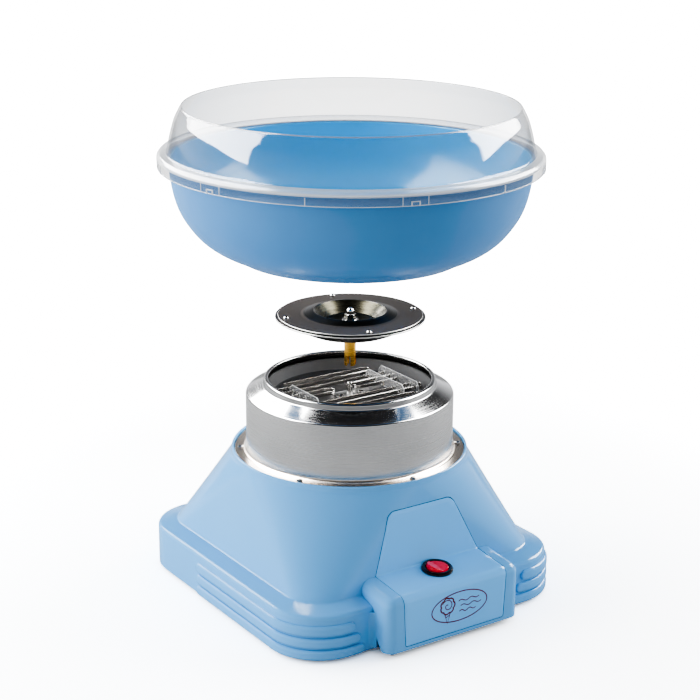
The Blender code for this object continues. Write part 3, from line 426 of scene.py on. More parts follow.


class Look(Nodes):
    """A Principled material and short calls that add detail to it."""

    def __init__(self, name, color, roughness, metallic=0.0, **sockets):
        self.mat = bpy.data.materials.new(name)
        self.mat.use_nodes = True
        super().__init__(self.mat.node_tree)
        self.shader = self.tree.nodes["Principled BSDF"]
        self.color = color
        sockets.update(Base_Color=(*color, 1.0), Roughness=roughness, Metallic=metallic)
        for key, value in sockets.items():
            self.shader.inputs[key.replace("_", " ")].default_value = value
        self.place = self.node("TexCoord").outputs["Object"]

    def stretched(self, scale):
        mapping = self.node("Mapping", Scale=scale)
        self.link(self.place, mapping.inputs["Vector"])
        return mapping.outputs["Vector"]

    def noise(self, scale, detail=3.0, vector=None):
        made = self.node("TexNoise", Scale=scale, Detail=detail)
        self.link(vector or self.place, made.inputs["Vector"])
        return made.outputs["Fac"]

    def blend(self, share, first, second):
        """Base colour between two; each is a colour or a socket that gives one."""
        mix = self.node("Mix")
        mix.data_type = 'RGBA'
        self.link(share, mix.inputs["Factor"])
        for socket, source in (("A", first), ("B", second)):
            if isinstance(source, tuple):
                mix.inputs[socket].default_value = (*source, 1.0)
            else:
                self.link(source, mix.inputs[socket])
        self.link(mix.outputs["Result"], self.shader.inputs["Base Color"])

    def tint(self, value, other):
        """Base colour that drifts from the main colour to another one."""
        self.blend(self.remap(value, 0.0, 1.0), self.color, other)

    def rough(self, value, low, high):
        self.link(self.remap(value, low, high), self.shader.inputs["Roughness"])

    def bump(self, value, height, strength=1.0):
        made = self.node("Bump", Strength=strength, Distance=height * MM)
        self.link(value, made.inputs["Height"])
        self.link(made.outputs["Normal"], self.shader.inputs["Normal"])

    def painted_crevice_shade(self, shade):
        """Painted shade: base colour darkened in narrow grooves and seams, where ambient occlusion
        finds them shut in.
        """
        outside = self.shader.inputs["Base Color"].links[0].from_socket
        hollow = self.node("AmbientOcclusion", Distance=PAINTED_SHADE_REACH * MM)
        self.blend(self.remap(hollow.outputs["AO"], 0.0, 1.0, *PAINTED_SHADE_SPAN), shade, outside)

    def around_axis(self, amount):
        """Brushing that runs round the spindle's axis."""
        self.shader.inputs["Anisotropic"].default_value = amount
        tangent = self.node("Tangent")
        tangent.direction_type = 'RADIAL'
        tangent.axis = 'Z'
        self.link(tangent.outputs[0], self.shader.inputs["Tangent"])


def moulded(name, color, shade, roughness=0.16, crevice_shade=None, **sockets):
    """Glossy injection-moulded plastic: faint flow tints, uneven gloss, slight ripple, and painted
    shade in grooves when a shade colour is given.
    """
    look = Look(name, color, roughness, **sockets)
    look.tint(look.noise(14.0), shade)
    look.rough(look.noise(60.0, 2.0), roughness - 0.04, roughness + 0.05)
    look.bump(look.noise(220.0, 2.0), 0.03, 0.25)
    if crevice_shade:
        look.painted_crevice_shade(crevice_shade)
    return look.mat


def brushed(name, color, roughness, anisotropy, grain=3000.0, depth=0.004, metallic=1.0):
    """Spun or brushed sheet with fine lines that run round the axis."""
    look = Look(name, color, roughness, metallic)
    lines = look.noise(1.0, 2.0, look.stretched((3.0, 3.0, grain)))
    look.tint(look.noise(25.0), tuple(c * 0.9 for c in color))
    look.rough(lines, roughness - 0.05, roughness + 0.08)
    look.bump(lines, depth, 0.35)
    if anisotropy:
        look.around_axis(anisotropy)
    return look.mat


def plated(name, color, roughness=0.12):
    look = Look(name, color, roughness, 1.0)
    look.tint(look.noise(300.0), tuple(c * 0.85 for c in color))
    look.rough(look.noise(900.0), roughness, roughness + 0.12)
    return look.mat


def clear_sheet(name, tint, opacity, edge_opacity, roughness, ior):
    """Clear plastic wall: see-through face on, brighter and less clear at a glance."""
    look = Look(name, tint, roughness, IOR=ior)
    see_through = look.node("BsdfTransparent", Color=(0.985, 0.988, 0.99, 1.0))
    glance = look.node("LayerWeight", Blend=0.35)
    share = look.remap(glance.outputs["Facing"], opacity, edge_opacity, 0.0, 1.0)
    look.rough(look.noise(40.0), roughness, roughness + 0.03)
    look.bump(look.noise(30.0, 1.0), 0.06, 0.2)
    mixed = look.mixed(share, see_through.outputs[0], look.shader.outputs[0])
    look.link(mixed, look.tree.nodes["Material Output"].inputs["Surface"])
    return look.mat


# the blue plastic's last colour is the painted shade that darkens its grooves and seams
ABS = moulded("pastel_abs_finish", (0.165, 0.435, 0.79), (0.157, 0.425, 0.78), 0.09,
              (0.06, 0.22, 0.48), Specular_IOR_Level=0.3)
# the bowl is one blue plastic, painted as shaded and lit copies: darker outside, lighter inside
# where light falls
BOWL_SHADED_BLUE = moulded("bowl_outside_painted_shade", (0.105, 0.275, 0.54), (0.098, 0.265, 0.53), 0.4,
                    Specular_IOR_Level=0.12)
BOWL_LIT_INSIDE = moulded("bowl_inside_painted_light", (0.10, 0.49, 0.87), (0.095, 0.48, 0.86), 0.16,
                      Specular_IOR_Level=0.3)
CLEAR = clear_sheet("shield_finish", (0.16, 0.16, 0.165), 0.09, 0.5, 0.03, 3.2)
FROSTED = clear_sheet("bead_finish", (0.90, 0.91, 0.92), 0.42, 0.9, 0.14, 2.0)
STAINLESS = brushed("stainless_finish", (0.66, 0.66, 0.66), 0.26, 0.5, 5000.0, 0.001)
POLISHED = brushed("polished_shoulder", (0.52, 0.52, 0.52), 0.12, 0.45)
SATIN = brushed("satin_finish", (0.34, 0.34, 0.34), 0.34, 0.5)
FLANGE_STEEL = brushed("flange_finish", (0.72, 0.65, 0.58), 0.24, 0.5)
CHROME = plated("bright_finish", (0.66, 0.65, 0.63), 0.10)
DARK_COAT = brushed("dark_coat_finish", (0.066, 0.050, 0.039), 0.38, 0.2, metallic=0.25)
GLOSS_COAT = brushed("slope_finish", (0.016, 0.015, 0.013), 0.3, 0.0)
CRATER_COAT = brushed("crater_finish", (0.062, 0.058, 0.042), 0.26, 0.2)
# lighter ring on the crater's lip crest: a painted highlight
CRATER_LIP_HIGHLIGHT = brushed("crater_lip_painted_highlight", (0.16, 0.15, 0.135), 0.22, 0.0)
DULL_ALUMINIUM = brushed("pan_finish", (0.10, 0.098, 0.096), 0.34, 0.4)
BRASS = brushed("brass_finish", (0.95, 0.56, 0.13), 0.24, 0.0, depth=0.001)
RUBBER = moulded("rubber_finish", (0.28, 0.28, 0.29), (0.24, 0.24, 0.25), 0.6)
# black for the dark parts; in the rivets' recesses it is painted shade
BLACK = moulded("black_parts_and_painted_hole_shade", (0.012, 0.012, 0.014), (0.018, 0.018, 0.02), 0.25)
RED = moulded("red_finish", (0.72, 0.012, 0.03), (0.62, 0.01, 0.025), 0.12)
NICHROME = brushed("nichrome_finish", (0.70, 0.68, 0.65), 0.16, 0.0)
COPPER = plated("winding_finish", (0.45, 0.19, 0.07), 0.35)
# the basin's floor and wall are one steel, painted as shaded and lit copies: darker floor, lighter
# wall
BASIN_SHADED = brushed("basin_floor_painted_shade", (0.085, 0.085, 0.087), 0.4, 0.0, metallic=0.3)
BASIN_WALL_LIT = brushed("basin_wall_painted_light", (0.20, 0.20, 0.203), 0.4, 0.0, metallic=0.2)
INK = moulded("print_finish", (0.10, 0.008, 0.015), (0.12, 0.01, 0.02), 0.3)
MICA = clear_sheet("mica_finish", (0.50, 0.50, 0.50), 0.30, 0.6, 0.15, 2.2)
# white for the terminal block; on the mica plates' edges it is a painted highlight
WHITE_PART_AND_MICA_EDGE_HIGHLIGHT = moulded("white_part_and_mica_edge_highlight", (0.95, 0.95, 0.95), (0.90, 0.90, 0.90), 0.3)
# greyer, less clear sheet on the mouth's rim: a painted shade line at the rim's edge
RIM_EDGE_SHADE = clear_sheet("mouth_rim_painted_shade", (0.45, 0.45, 0.46), 0.45, 0.8, 0.08, 1.8)
# whitish sheet for the moulded clips; on the skirt's lower edge it is a painted highlight
CLIP_AND_EDGE_HIGHLIGHT = clear_sheet("clip_finish", (0.95, 0.96, 0.97), 0.45, 0.8, 0.1, 2.0)
# near-black for the collar's inner faces: painted shade inside the steel collar
COLLAR_INSIDE_SHADE = plated("collar_inside_painted_shade", (0.05, 0.05, 0.05), 0.3)
RIM_SILVER = brushed("rim_silver_finish", (0.85, 0.83, 0.80), 0.3, 0.3)


# ---- base: plinth, tower, console

PLINTH_CORE = 81.8                  # half side less corner radius, on the plinth
FOOT_CORE = 78.3                    # the same at the tower's foot
EDGE_Z = 36.4                       # where the plinth's wall meets its ledge
FOOT_HALF, FOOT_Z = 107.3, 40.0
CONE_HALF, CONE_Z = 92.3, 108.0     # where the tower has become round
RIM_INNER = 90.0
SEAT_Z, SEAT_INNER = 109.0, 78.5
WALL = 2.5


def core_at(z):
    """Half the flat width of the base's sides, by height."""
    if z <= EDGE_Z:
        return PLINTH_CORE
    if z <= FOOT_Z:
        return PLINTH_CORE + (FOOT_CORE - PLINTH_CORE) * (z - EDGE_Z) / (FOOT_Z - EDGE_Z)
    return max(FOOT_CORE * (CONE_Z - z) / (CONE_Z - FOOT_Z), 0.2)


def base_ring(half, core):
    """Rounded square, every side and corner with the same number of points."""
    sides, arcs = 18, 22
    radius = half - core
    quarter = [(half, -core + 2.0 * core * i / sides) for i in range(sides)]
    quarter += [(core + radius * math.cos(QUARTER * i / arcs),
                 core + radius * math.sin(QUARTER * i / arcs)) for i in range(arcs)]
    return [tuple(Matrix.Rotation(k * QUARTER, 2) @ Vector(p)) for k in range(4) for p in quarter]


def base_wall():
    """Outer path up the plinth and tower, over the rim, and back down the inside."""
    return rounded([
        (PLINTH - 1.2, SHELL_BOTTOM), (PLINTH, SHELL_BOTTOM, 1.0), (PLINTH, 20.0),
        (PLINTH, EDGE_Z, 3.2), (FOOT_HALF, FOOT_Z, 1.8), (103.4, 57.0), (99.8, 73.0),
        (96.3, 89.5), (CONE_HALF + 0.6, 105.5), (CONE_HALF, CONE_Z, 2.5),
        (91.9, RIM_TOP, 1.1), (RIM_INNER, RIM_TOP, 0.8), (RIM_INNER, SEAT_Z),
        (SEAT_INNER, SEAT_Z), (SEAT_INNER, SEAT_Z - WALL), (CONE_HALF - 3.5, SEAT_Z - WALL),
        (FOOT_HALF - WALL, FOOT_Z - WALL), (PLINTH - WALL, EDGE_Z - WALL),
        (PLINTH - WALL, SHELL_BOTTOM),
    ])


# lowest and highest point, and where the band ends at the front
RIB_BANDS = ((21.7, 30.0, 76.7), (12.3, 20.3, 72.2), (SHELL_BOTTOM + 0.4, 11.0, 68.2))
RIB_SIDE_END = 29.5
RIB_PROUD, RIB_SUNK = 2.2, 0.6


def rib_path(front_end, side):
    """Points and outward normals along the plinth's wall round one front corner."""
    radius, length = PLINTH - PLINTH_CORE, RIB_SIDE_END + PLINTH_CORE
    path = [((PLINTH, RIB_SIDE_END - length * i / 46), (1.0, 0.0)) for i in range(46)]
    for i in range(33):
        x, y = math.cos(QUARTER * i / 32), -math.sin(QUARTER * i / 32)
        path.append(((PLINTH_CORE + radius * x, radius * y - PLINTH_CORE), (x, y)))
    path += [((PLINTH_CORE + (front_end - PLINTH_CORE) * i / 6, -PLINTH), (0.0, -1.0))
             for i in range(1, 7)]
    return [((side * x, y), (side * nx, ny)) for (x, y), (nx, ny) in path]


def add_rib(bm, low, high, front_end, side):
    """Raised band with soft edges and round ends."""
    path = rib_path(front_end, side)
    middle, reach = (low + high) / 2.0, (high - low) / 2.0
    lengths = [0.0]
    for (a, _), (b, _) in zip(path, path[1:]):
        lengths.append(lengths[-1] + (Vector(b) - Vector(a)).length)
    total = lengths[-1]
    stations = [reach * (1.0 - math.cos(QUARTER * i / 9)) for i in range(1, 10)]
    stations += [s for s in lengths if reach + 0.5 < s < total - reach - 0.5]
    stations += [total - s for s in reversed(stations[:9])]
    profile = [(math.copysign(abs(u) ** 0.6, u), (1.0 - abs(u) ** 2.2) ** 0.45)
               for u in (k / 8.0 - 1.0 for k in range(17))]
    rings = []
    for s in stations:
        k = max(i for i, value in enumerate(lengths[:-1]) if value <= s)
        t = (s - lengths[k]) / (lengths[k + 1] - lengths[k])
        spot = Vector(path[k][0]).lerp(Vector(path[k + 1][0]), t)
        out = Vector(path[k][1]).lerp(Vector(path[k + 1][1]), t).normalized()
        rest = min(s, total - s, reach)
        share = math.sqrt(max(1.0 - ((reach - rest) / reach) ** 2, 1e-4))
        proud = RIB_PROUD * (1.0 - (1.0 - share) ** 2)
        section = [(u, proud * h) for u, h in profile] + [(1.0, -RIB_SUNK), (-1.0, -RIB_SUNK)]
        rings.append([bm.verts.new((*(spot + out * w), middle + reach * share * u))
                      for u, w in section])
    add_strip(bm, rings)


CONSOLE_HALF = 60.8
CONSOLE_ROUND = 8.0
CONSOLE_BEND = 6.0
CONSOLE_END = -103.0
SHELF_SLOPE = math.atan2(2.7, 29.5)
SHELF_FRONT_Z = 47.05
CONSOLE_BOTTOM = 4.8
BLEND_RADIUS = 4.5                  # where the console meets the plinth
PANEL_BOTTOM, PANEL_BOTTOM_HALF = 8.2, 44.8
PANEL_FOLD, PANEL_FOLD_HALF = 50.3, 47.0
PANEL_TOP, PANEL_TOP_HALF = 93.5, 28.6
PANEL_THICK = 2.2
PANEL_SEAM = 0.5
CUT_FRONT, CUT_BACK = -150.0, -85.0     # reach of the panel's cutters
CORD_HOLE = [(7.0, -6.0), (7.0, 6.0), (0.0, 6.0), (0.0, -6.0)]
CORD_Z = 18.0


def shelf_z(y):
    return SHELF_FRONT_Z + (y - CONSOLE_FRONT) * math.tan(SHELF_SLOPE)


def console_side(inset):
    """Side view (y, z): up the front, round the bend and back along the shelf."""
    front = CONSOLE_FRONT + inset
    bend = CONSOLE_BEND * (1.0 - 0.5 * inset / CONSOLE_ROUND)
    corner_z = shelf_z(front) - inset / math.cos(SHELF_SLOPE)
    end_z = corner_z + (CONSOLE_END - front) * math.tan(SHELF_SLOPE)
    return rounded([(front, CONSOLE_BOTTOM + 0.01), (front, corner_z, bend),
                    (CONSOLE_END, end_z), (CONSOLE_END, CONSOLE_BOTTOM)])[:-1]


def console_sections():
    """Distances from the middle and insets that round the console's two ends."""
    core = CONSOLE_HALF - CONSOLE_ROUND
    ends = [(core + CONSOLE_ROUND * math.sin(QUARTER * i / 9),
             CONSOLE_ROUND * (1.0 - math.cos(QUARTER * i / 9))) for i in range(10)]
    middle = [(core * k / 6.0, 0.0) for k in range(-5, 6)]
    return [(-x, inset) for x, inset in reversed(ends)] + middle + ends


def add_console(bm):
    """Round-shouldered box, open below and behind, with an outer and an inner skin."""
    rims = []
    for sink, squeeze in ((0.0, 1.0), (WALL, (CONSOLE_HALF - WALL) / CONSOLE_HALF)):
        rows = [[bm.verts.new((x * squeeze, y, z)) for y, z in console_side(inset + sink)]
                for x, inset in console_sections()]
        add_grid(bm, rows)
        bm.faces.new(rows[0])
        bm.faces.new(rows[-1])
        rims.append([row[0] for row in rows] + [row[-1] for row in reversed(rows)])
    join_rings(bm, *rims)


def add_fillet(bm, corners, arm_a, arm_b):
    """Concave strip along the corners; the arms reach to its two tangent lines."""
    rows = []
    for corner in corners:
        center = corner + arm_a + arm_b
        row = [bm.verts.new(center - arm_b * math.cos(QUARTER * k / 6)
                            - arm_a * math.sin(QUARTER * k / 6)) for k in range(7)]
        row.append(bm.verts.new(corner - (arm_a + arm_b) * 0.1))
        rows.append(row)
    add_strip(bm, rows)


def panel_front(grow):
    """Front view (x, z) of the panel, grown evenly."""
    low, top = PANEL_BOTTOM - grow, PANEL_TOP + grow
    foot, half, top_half = PANEL_BOTTOM_HALF + grow, PANEL_FOLD_HALF + grow, PANEL_TOP_HALF + grow
    corner = 1.6 + grow
    return rounded([(-foot, low, corner), (foot, low, corner), (half, PANEL_FOLD),
                    (top_half, top, 8.5), (-top_half, top, 8.5), (-half, PANEL_FOLD)])


def trim_panel(obj, grow, operation):
    """Cut the panel's outline out of a piece, or keep only what is inside it."""
    cut_prism(obj, panel_front(grow), CUT_FRONT, CUT_BACK, 'Y', operation=operation)


def base_body():
    bm = bmesh.new()
    rings = []
    for half, z in base_wall():
        core = min(core_at(z), half - 1.0)
        if z >= CONE_Z - 0.01 or (half < PLINTH - 2.0 and abs(z - SEAT_Z + WALL) < 0.1):
            core = 0.2
        rings.append([bm.verts.new((x, y, z)) for x, y in base_ring(half, core)])
    for a, b in zip(rings, rings[1:] + rings[:1]):
        join_rings(bm, a, b)
    body = finish_piece(bm, "base_body", ABS, "base", ("base_shell",))
    trim_panel(body, PANEL_SEAM, 'DIFFERENCE')
    bore(body, CORD_HOLE, 32, place=Matrix.Translation((0.0, PLINTH, CORD_Z))
         @ Matrix.Rotation(QUARTER, 4, 'X'))


def ribs():
    bm = bmesh.new()
    for side in (-1, 1):
        for low, high, front_end in RIB_BANDS:
            add_rib(bm, low, high, front_end, side)
    finish_piece(bm, "plinth_ribs", ABS, "base")


def console():
    bm = bmesh.new()
    add_console(bm)
    shell = finish_piece(bm, "console_shell", ABS, "base")
    trim_panel(shell, PANEL_SEAM, 'DIFFERENCE')
    blends = bmesh.new()
    for side in (-1, 1):
        corners = [Vector((side * CONSOLE_HALF, -PLINTH, z)) for z in (CONSOLE_BOTTOM, 20.0, 33.0)]
        add_fillet(blends, corners, Vector((side * BLEND_RADIUS, 0.0, 0.0)),
                   Vector((0.0, -BLEND_RADIUS, 0.0)))
    finish_piece(blends, "console_blends", ABS, "base")


def panel_path():
    """Side view (y, z) of the panel's outer face from its lower edge to its upper edge."""
    lean = (CONE_HALF - FOOT_HALF) / (CONE_Z - FOOT_Z)
    top_y = -(FOOT_HALF + (PANEL_TOP - FOOT_Z) * lean)
    fold_y = -(FOOT_HALF + (shelf_z(-105.0) - FOOT_Z) * lean)
    path = rounded([(CONSOLE_FRONT, PANEL_BOTTOM - 2.0),
                    (CONSOLE_FRONT, SHELF_FRONT_Z, CONSOLE_BEND),
                    (fold_y, shelf_z(fold_y), 1.5), (top_y, PANEL_TOP), (top_y + 30.0, PANEL_TOP)])
    return path[:-1]


def dense(path, spacing):
    """The same open path with points no further apart than spacing."""
    result = [path[0]]
    for a, b in zip(path, path[1:]):
        a, b = Vector(a), Vector(b)
        count = max(1, math.ceil((b - a).length / spacing))
        result += [tuple(a.lerp(b, k / count)) for k in range(1, count + 1)]
    return result


def border(rows):
    """Outermost points of a grid, once round."""
    return (rows[0] + [row[-1] for row in rows[1:]] + rows[-1][-2::-1]
            + [row[0] for row in rows[-2:0:-1]])


def front_panel():
    """Bent cover plate, trimmed to its outline, with softened edges and the switch hole."""
    path = [Vector(p) for p in dense(panel_path(), 4.0)]
    xs = [-52.0 + 104.0 * k / 24 for k in range(25)]
    bm = bmesh.new()
    front, back = [], []
    for i, point in enumerate(path):
        along = (path[min(i + 1, len(path) - 1)] - path[max(i - 1, 0)]).normalized()
        normal = Vector((-along.y, along.x))
        if normal.x > 0.0 or (abs(normal.x) < 1e-6 and normal.y < 0.0):
            normal = -normal
        deep = point - normal * PANEL_THICK
        front.append([bm.verts.new((x, *point)) for x in xs])
        back.append([bm.verts.new((x, *deep)) for x in xs])
    add_grid(bm, front)
    add_grid(bm, back)
    join_rings(bm, border(front), border(back))
    panel = finish_piece(bm, "panel_cover", ABS, "base", ("front_panel",))
    trim_panel(panel, 0.0, 'INTERSECT')
    bore(panel, [(10.3, -8.0), (10.3, 8.0), (0.0, 8.0), (0.0, -8.0)], 48, place=switch_place())
    bevel(panel, 0.5, 50.0)


# ---- switch

SWITCH_Y = -117.0
ROCKER_RADIUS = 8.6
ROCKER_PIVOT = 0.8                  # above the shelf
ROCKER_TILT = math.radians(10.0)


def switch_place():
    return (Matrix.Translation((0.0, SWITCH_Y, shelf_z(SWITCH_Y)))
            @ Matrix.Rotation(SHELF_SLOPE, 4, 'X'))


def switch_bezel():
    bm = bmesh.new()
    profile = rounded([(0.0, -14.0), (9.9, -14.0), (9.9, 0.3), (12.0, 0.3), (12.0, 1.3, 0.5),
                       (11.0, 2.6, 0.7), (9.1, 2.4, 0.3), (9.0, -7.0), (0.0, -7.0)])
    add_lathe(bm, profile, 72)
    bmesh.ops.transform(bm, matrix=switch_place(), verts=bm.verts)
    finish_piece(bm, "switch_bezel", BLACK, "base", ("switch_body",))


def switch_button():
    """Round rocker: ball-shaped sides, and a top that rises both ways from a crease."""
    segments, rows = 96, 14
    crease, slope, bottom = 1.6, 0.19, -5.5
    rings = [[(0.0, 0.0, crease + 0.02)]]
    for k in range(1, rows + 1):
        ring = []
        for i in range(segments):
            angle = TURN * i / segments
            lift = crease + slope * (ROCKER_RADIUS - 0.7) * abs(math.cos(angle))
            edge = math.sqrt(ROCKER_RADIUS ** 2 - lift ** 2)
            r = edge * k / rows
            z = crease + slope * math.sqrt((r * math.cos(angle)) ** 2 + 0.04)
            if k == rows:
                z -= 0.22
            elif k == rows - 1:
                r = edge - 0.35
            ring.append((r * math.cos(angle), r * math.sin(angle), z))
        rings.append(ring)
    for k in range(1, 9):
        ring = []
        for x, y, z in rings[rows]:
            low = z + (bottom - z) * k / 8
            r = math.sqrt(ROCKER_RADIUS ** 2 - low ** 2)
            flat = Vector((x, y)).normalized() * r
            ring.append((flat.x, flat.y, low))
        rings.append(ring)
    rings.append([(0.0, 0.0, bottom)])
    bm = bmesh.new()
    made = [[bm.verts.new(p) for p in ring] for ring in rings]
    for a, b in zip(made, made[1:]):
        join_rings(bm, a, b)
    place = (switch_place() @ Matrix.Translation((0.0, 0.0, ROCKER_PIVOT))
             @ Matrix.Rotation(ROCKER_TILT, 4, 'Y'))
    bmesh.ops.transform(bm, matrix=place, verts=bm.verts)
    finish_piece(bm, "switch_button", RED, "switch", ("switch_rocker",), SOFT)


# ---- printed mark

MARK_X, MARK_Z = 3.5, 28.0
MARK_WIDE, MARK_HIGH = 25.4, 11.6
INK_LINE = 0.75


def add_inked_line(bm, points, width, closed=False):
    """Thin flat ribbon on the console's front, along (x, z) points."""
    front, back = CONSOLE_FRONT - 0.05, CONSOLE_FRONT + 0.1
    points = [Vector(p) for p in points]
    first, last = (points[-1], points[0]) if closed else (points[0], points[-1])
    stations = []
    for before, point, after in zip([first, *points], points, [*points[1:], last]):
        along = (after - before).normalized()
        side = Vector((-along.y, along.x)) * width / 2.0
        a, b = point + side, point - side
        stations.append([bm.verts.new(p) for p in ((a.x, front, a.y), (b.x, front, b.y),
                                                   (b.x, back, b.y), (a.x, back, a.y))])
    if closed:
        for a, b in zip(stations, stations[1:] + stations[:1]):
            join_rings(bm, a, b)
    else:
        add_strip(bm, stations)


def ellipse(x, z, wide, high, count=72):
    return [(x + wide * math.cos(TURN * i / count), z + high * math.sin(TURN * i / count))
            for i in range(count)]


def cloud(x, z, radius):
    """Scalloped round outline."""
    count, lobes = 84, 7
    points = []
    for i in range(count):
        angle = TURN * i / count
        r = radius * (0.86 + 0.14 * abs(math.cos(angle * lobes / 2.0)) ** 0.7)
        points.append((x + r * math.cos(angle), z + r * math.sin(angle)))
    return points


def printed_mark():
    """Oval ring round a puff of candy floss on its cone and three wavy lines."""
    bm = bmesh.new()
    add_inked_line(bm, ellipse(MARK_X, MARK_Z, MARK_WIDE, MARK_HIGH), INK_LINE * 1.2, True)
    x, z = MARK_X - 11.0, MARK_Z + 2.6
    add_inked_line(bm, cloud(x, z, 6.6), INK_LINE * 1.6, True)
    add_inked_line(bm, [(x + 3.6 * math.cos(t) * t / 6.0, z + 3.6 * math.sin(t) * t / 6.0)
                        for t in [k * 0.25 for k in range(4, 37)]], INK_LINE)
    add_inked_line(bm, [(x - 2.4, z - 6.3), (x, z - 14.2), (x + 2.4, z - 6.3)], INK_LINE)
    add_inked_line(bm, [(x - 1.4, z - 9.0), (x + 1.9, z - 7.6)], INK_LINE)
    for row, (start, end) in enumerate(((-1.0, 18.0), (1.0, 20.0), (0.0, 15.0))):
        wave = [(MARK_X + start + (end - start) * k / 30,
                 MARK_Z + 4.0 - 4.2 * row + 0.8 * math.sin(TURN * k / 15))
                for k in range(31)]
        add_inked_line(bm, wave, INK_LINE)
    finish_piece(bm, "printed_mark", INK, "base")


# ---- collar and heater

COLLAR_RADIUS = 80.6
FLANGE_TOP = 110.5
LUG_HALF_ANGLE = math.radians(7.5)
LUG_BOTTOM, LUG_TOP, LUG_PROUD = 113.2, 120.1, 1.8
BASIN_FLOOR, BASIN_RIM = 152.0, 160.8


def add_lug(bm, azimuth):
    """Half-pierced lug: cut free along its top edge, fading out downwards."""
    r = COLLAR_RADIUS
    rings = []
    for u in (k / 8.0 - 1.0 for k in range(17)):
        proud = LUG_PROUD * (1.0 - abs(u) ** 8)
        angle = azimuth + LUG_HALF_ANGLE * u
        outline = [(r - 0.4, LUG_BOTTOM - 0.5), (r + 0.02, LUG_BOTTOM)]
        outline += [(r + proud * math.sin(QUARTER * k / 5) ** 1.5 + 0.02,
                     LUG_BOTTOM + (LUG_TOP - 0.4 - LUG_BOTTOM) * k / 5) for k in range(1, 6)]
        outline += [(r + proud * 0.8 + 0.02, LUG_TOP), (r - 0.4, LUG_TOP)]
        rings.append([bm.verts.new((p * math.cos(angle), p * math.sin(angle), z))
                      for p, z in outline])
    add_strip(bm, rings)


def paint_by(obj, mats, choose):
    """Give each face the material that choose(center, normal) picks, in millimetres."""
    obj.data.materials.clear()
    for mat in mats:
        obj.data.materials.append(mat)
    for face in obj.data.polygons:
        face.material_index = choose(face.center / MM, face.normal)


def collar_finish(center, normal):
    radius = math.hypot(center.x, center.y)
    inward = normal.to_2d().dot(center.to_2d()) < 0.0
    # inner faces of the collar are painted near-black as shade
    if radius < COLLAR_RADIUS - 0.3 and inward and center.z < 165.9:
        return 3
    if center.z < LUG_BOTTOM and radius > COLLAR_RADIUS + 0.02:
        return 2
    if center.z > 155.0:
        return 1
    return 0


def collar():
    bm = bmesh.new()
    r = COLLAR_RADIUS
    profile = rounded([
        (89.6, 109.35), (89.6, FLANGE_TOP, 0.4), (r, FLANGE_TOP, 3.0), (r, 130.0), (r, 155.6, 1.8),
        (67.0, 162.4, 1.3), (66.6, 167.4, 1.9), (63.1, 167.4, 0.9), (63.1, 165.8),
        (65.6, 165.8), (65.6, 163.6), (65.6, 161.9, 0.8), (r - 1.0, 154.7, 1.4),
        (r - 1.0, 109.35),
    ])
    add_lathe(bm, profile, 160)
    for azimuth in (0.0, math.pi):
        add_lug(bm, azimuth)
    obj = finish_piece(bm, "collar_shell", STAINLESS, "base", ("collar",))
    for k in range(1, 7):
        bore(obj, [(1.7, 105.0), (1.7, 115.0), (0.0, 115.0), (0.0, 105.0)], 16,
             center_of(f"collar_screw_{k}"))
    paint_by(obj, (STAINLESS, POLISHED, FLANGE_STEEL, COLLAR_INSIDE_SHADE), collar_finish)


def screw(node, head_radius, head_height, under=False):
    """Pan-head cross-recess screw in place of a plain one; under is for one seen from below."""
    low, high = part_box(node)
    place = center_of(node)
    down = 1.0 if under else -1.0
    top, end = (low.z / MM, high.z / MM) if under else (high.z / MM, low.z / MM)
    shank, base = head_radius * 0.55, top + down * head_height
    obj = turned(f"{node}_cross", [
        (0.0, top), (head_radius * 0.72, top + down * 0.08, 0.5),
        (head_radius, top + down * head_height * 0.6, 0.4), (head_radius, base), (shank, base),
        (shank, end), (0.0, end),
    ], CHROME, "base", node, 40, place)
    arm, blade, deep = head_radius * 0.55, head_radius * 0.13, head_height * 0.55
    for turn in (20.0, 110.0):
        cut_prism(obj, [(-arm, -blade), (arm, -blade), (arm, blade), (-arm, blade)],
                  top - deep, top + deep, 'Z', Matrix.Translation((*place, 0.0))
                  @ Matrix.Rotation(math.radians(turn), 4, 'Z'))


def heater_basin():
    obj = turned("heater_basin", [
        (3.0, BASIN_FLOOR), (60.2, BASIN_FLOOR, 1.8), (64.4, BASIN_RIM, 0.5),
        (66.4, BASIN_RIM, 0.8), (78.6, 154.2, 0.6), (79.2, 153.0), (79.2, 150.0), (78.3, 150.0),
        (78.3, 153.2, 0.4), (66.0, 159.8, 0.3), (65.2, 159.8, 0.3), (61.2, 151.1, 1.4),
        (3.0, 151.1),
    ], BASIN_SHADED, "base", "heater_pan")
    # floor faces get the darker copy, wall faces the lighter one, as painted shade and painted
    # light
    paint_by(obj, (BASIN_SHADED, BASIN_WALL_LIT), lambda center, normal: int(center.z > BASIN_FLOOR + 0.6))


def refined(node, mat, body, width):
    """The frame's own solid with softened edges."""
    bm = bmesh.new()
    bm.from_mesh(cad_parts[node].data)
    bmesh.ops.remove_doubles(bm, verts=bm.verts, dist=1e-6)
    bmesh.ops.dissolve_limit(bm, angle_limit=math.radians(1.0), verts=bm.verts, edges=bm.edges)
    bmesh.ops.scale(bm, vec=(1.0 / MM,) * 3, verts=bm.verts)
    obj = finish_piece(bm, f"{node}_finished", mat, body, (node,))
    bevel(obj, width)
    return obj


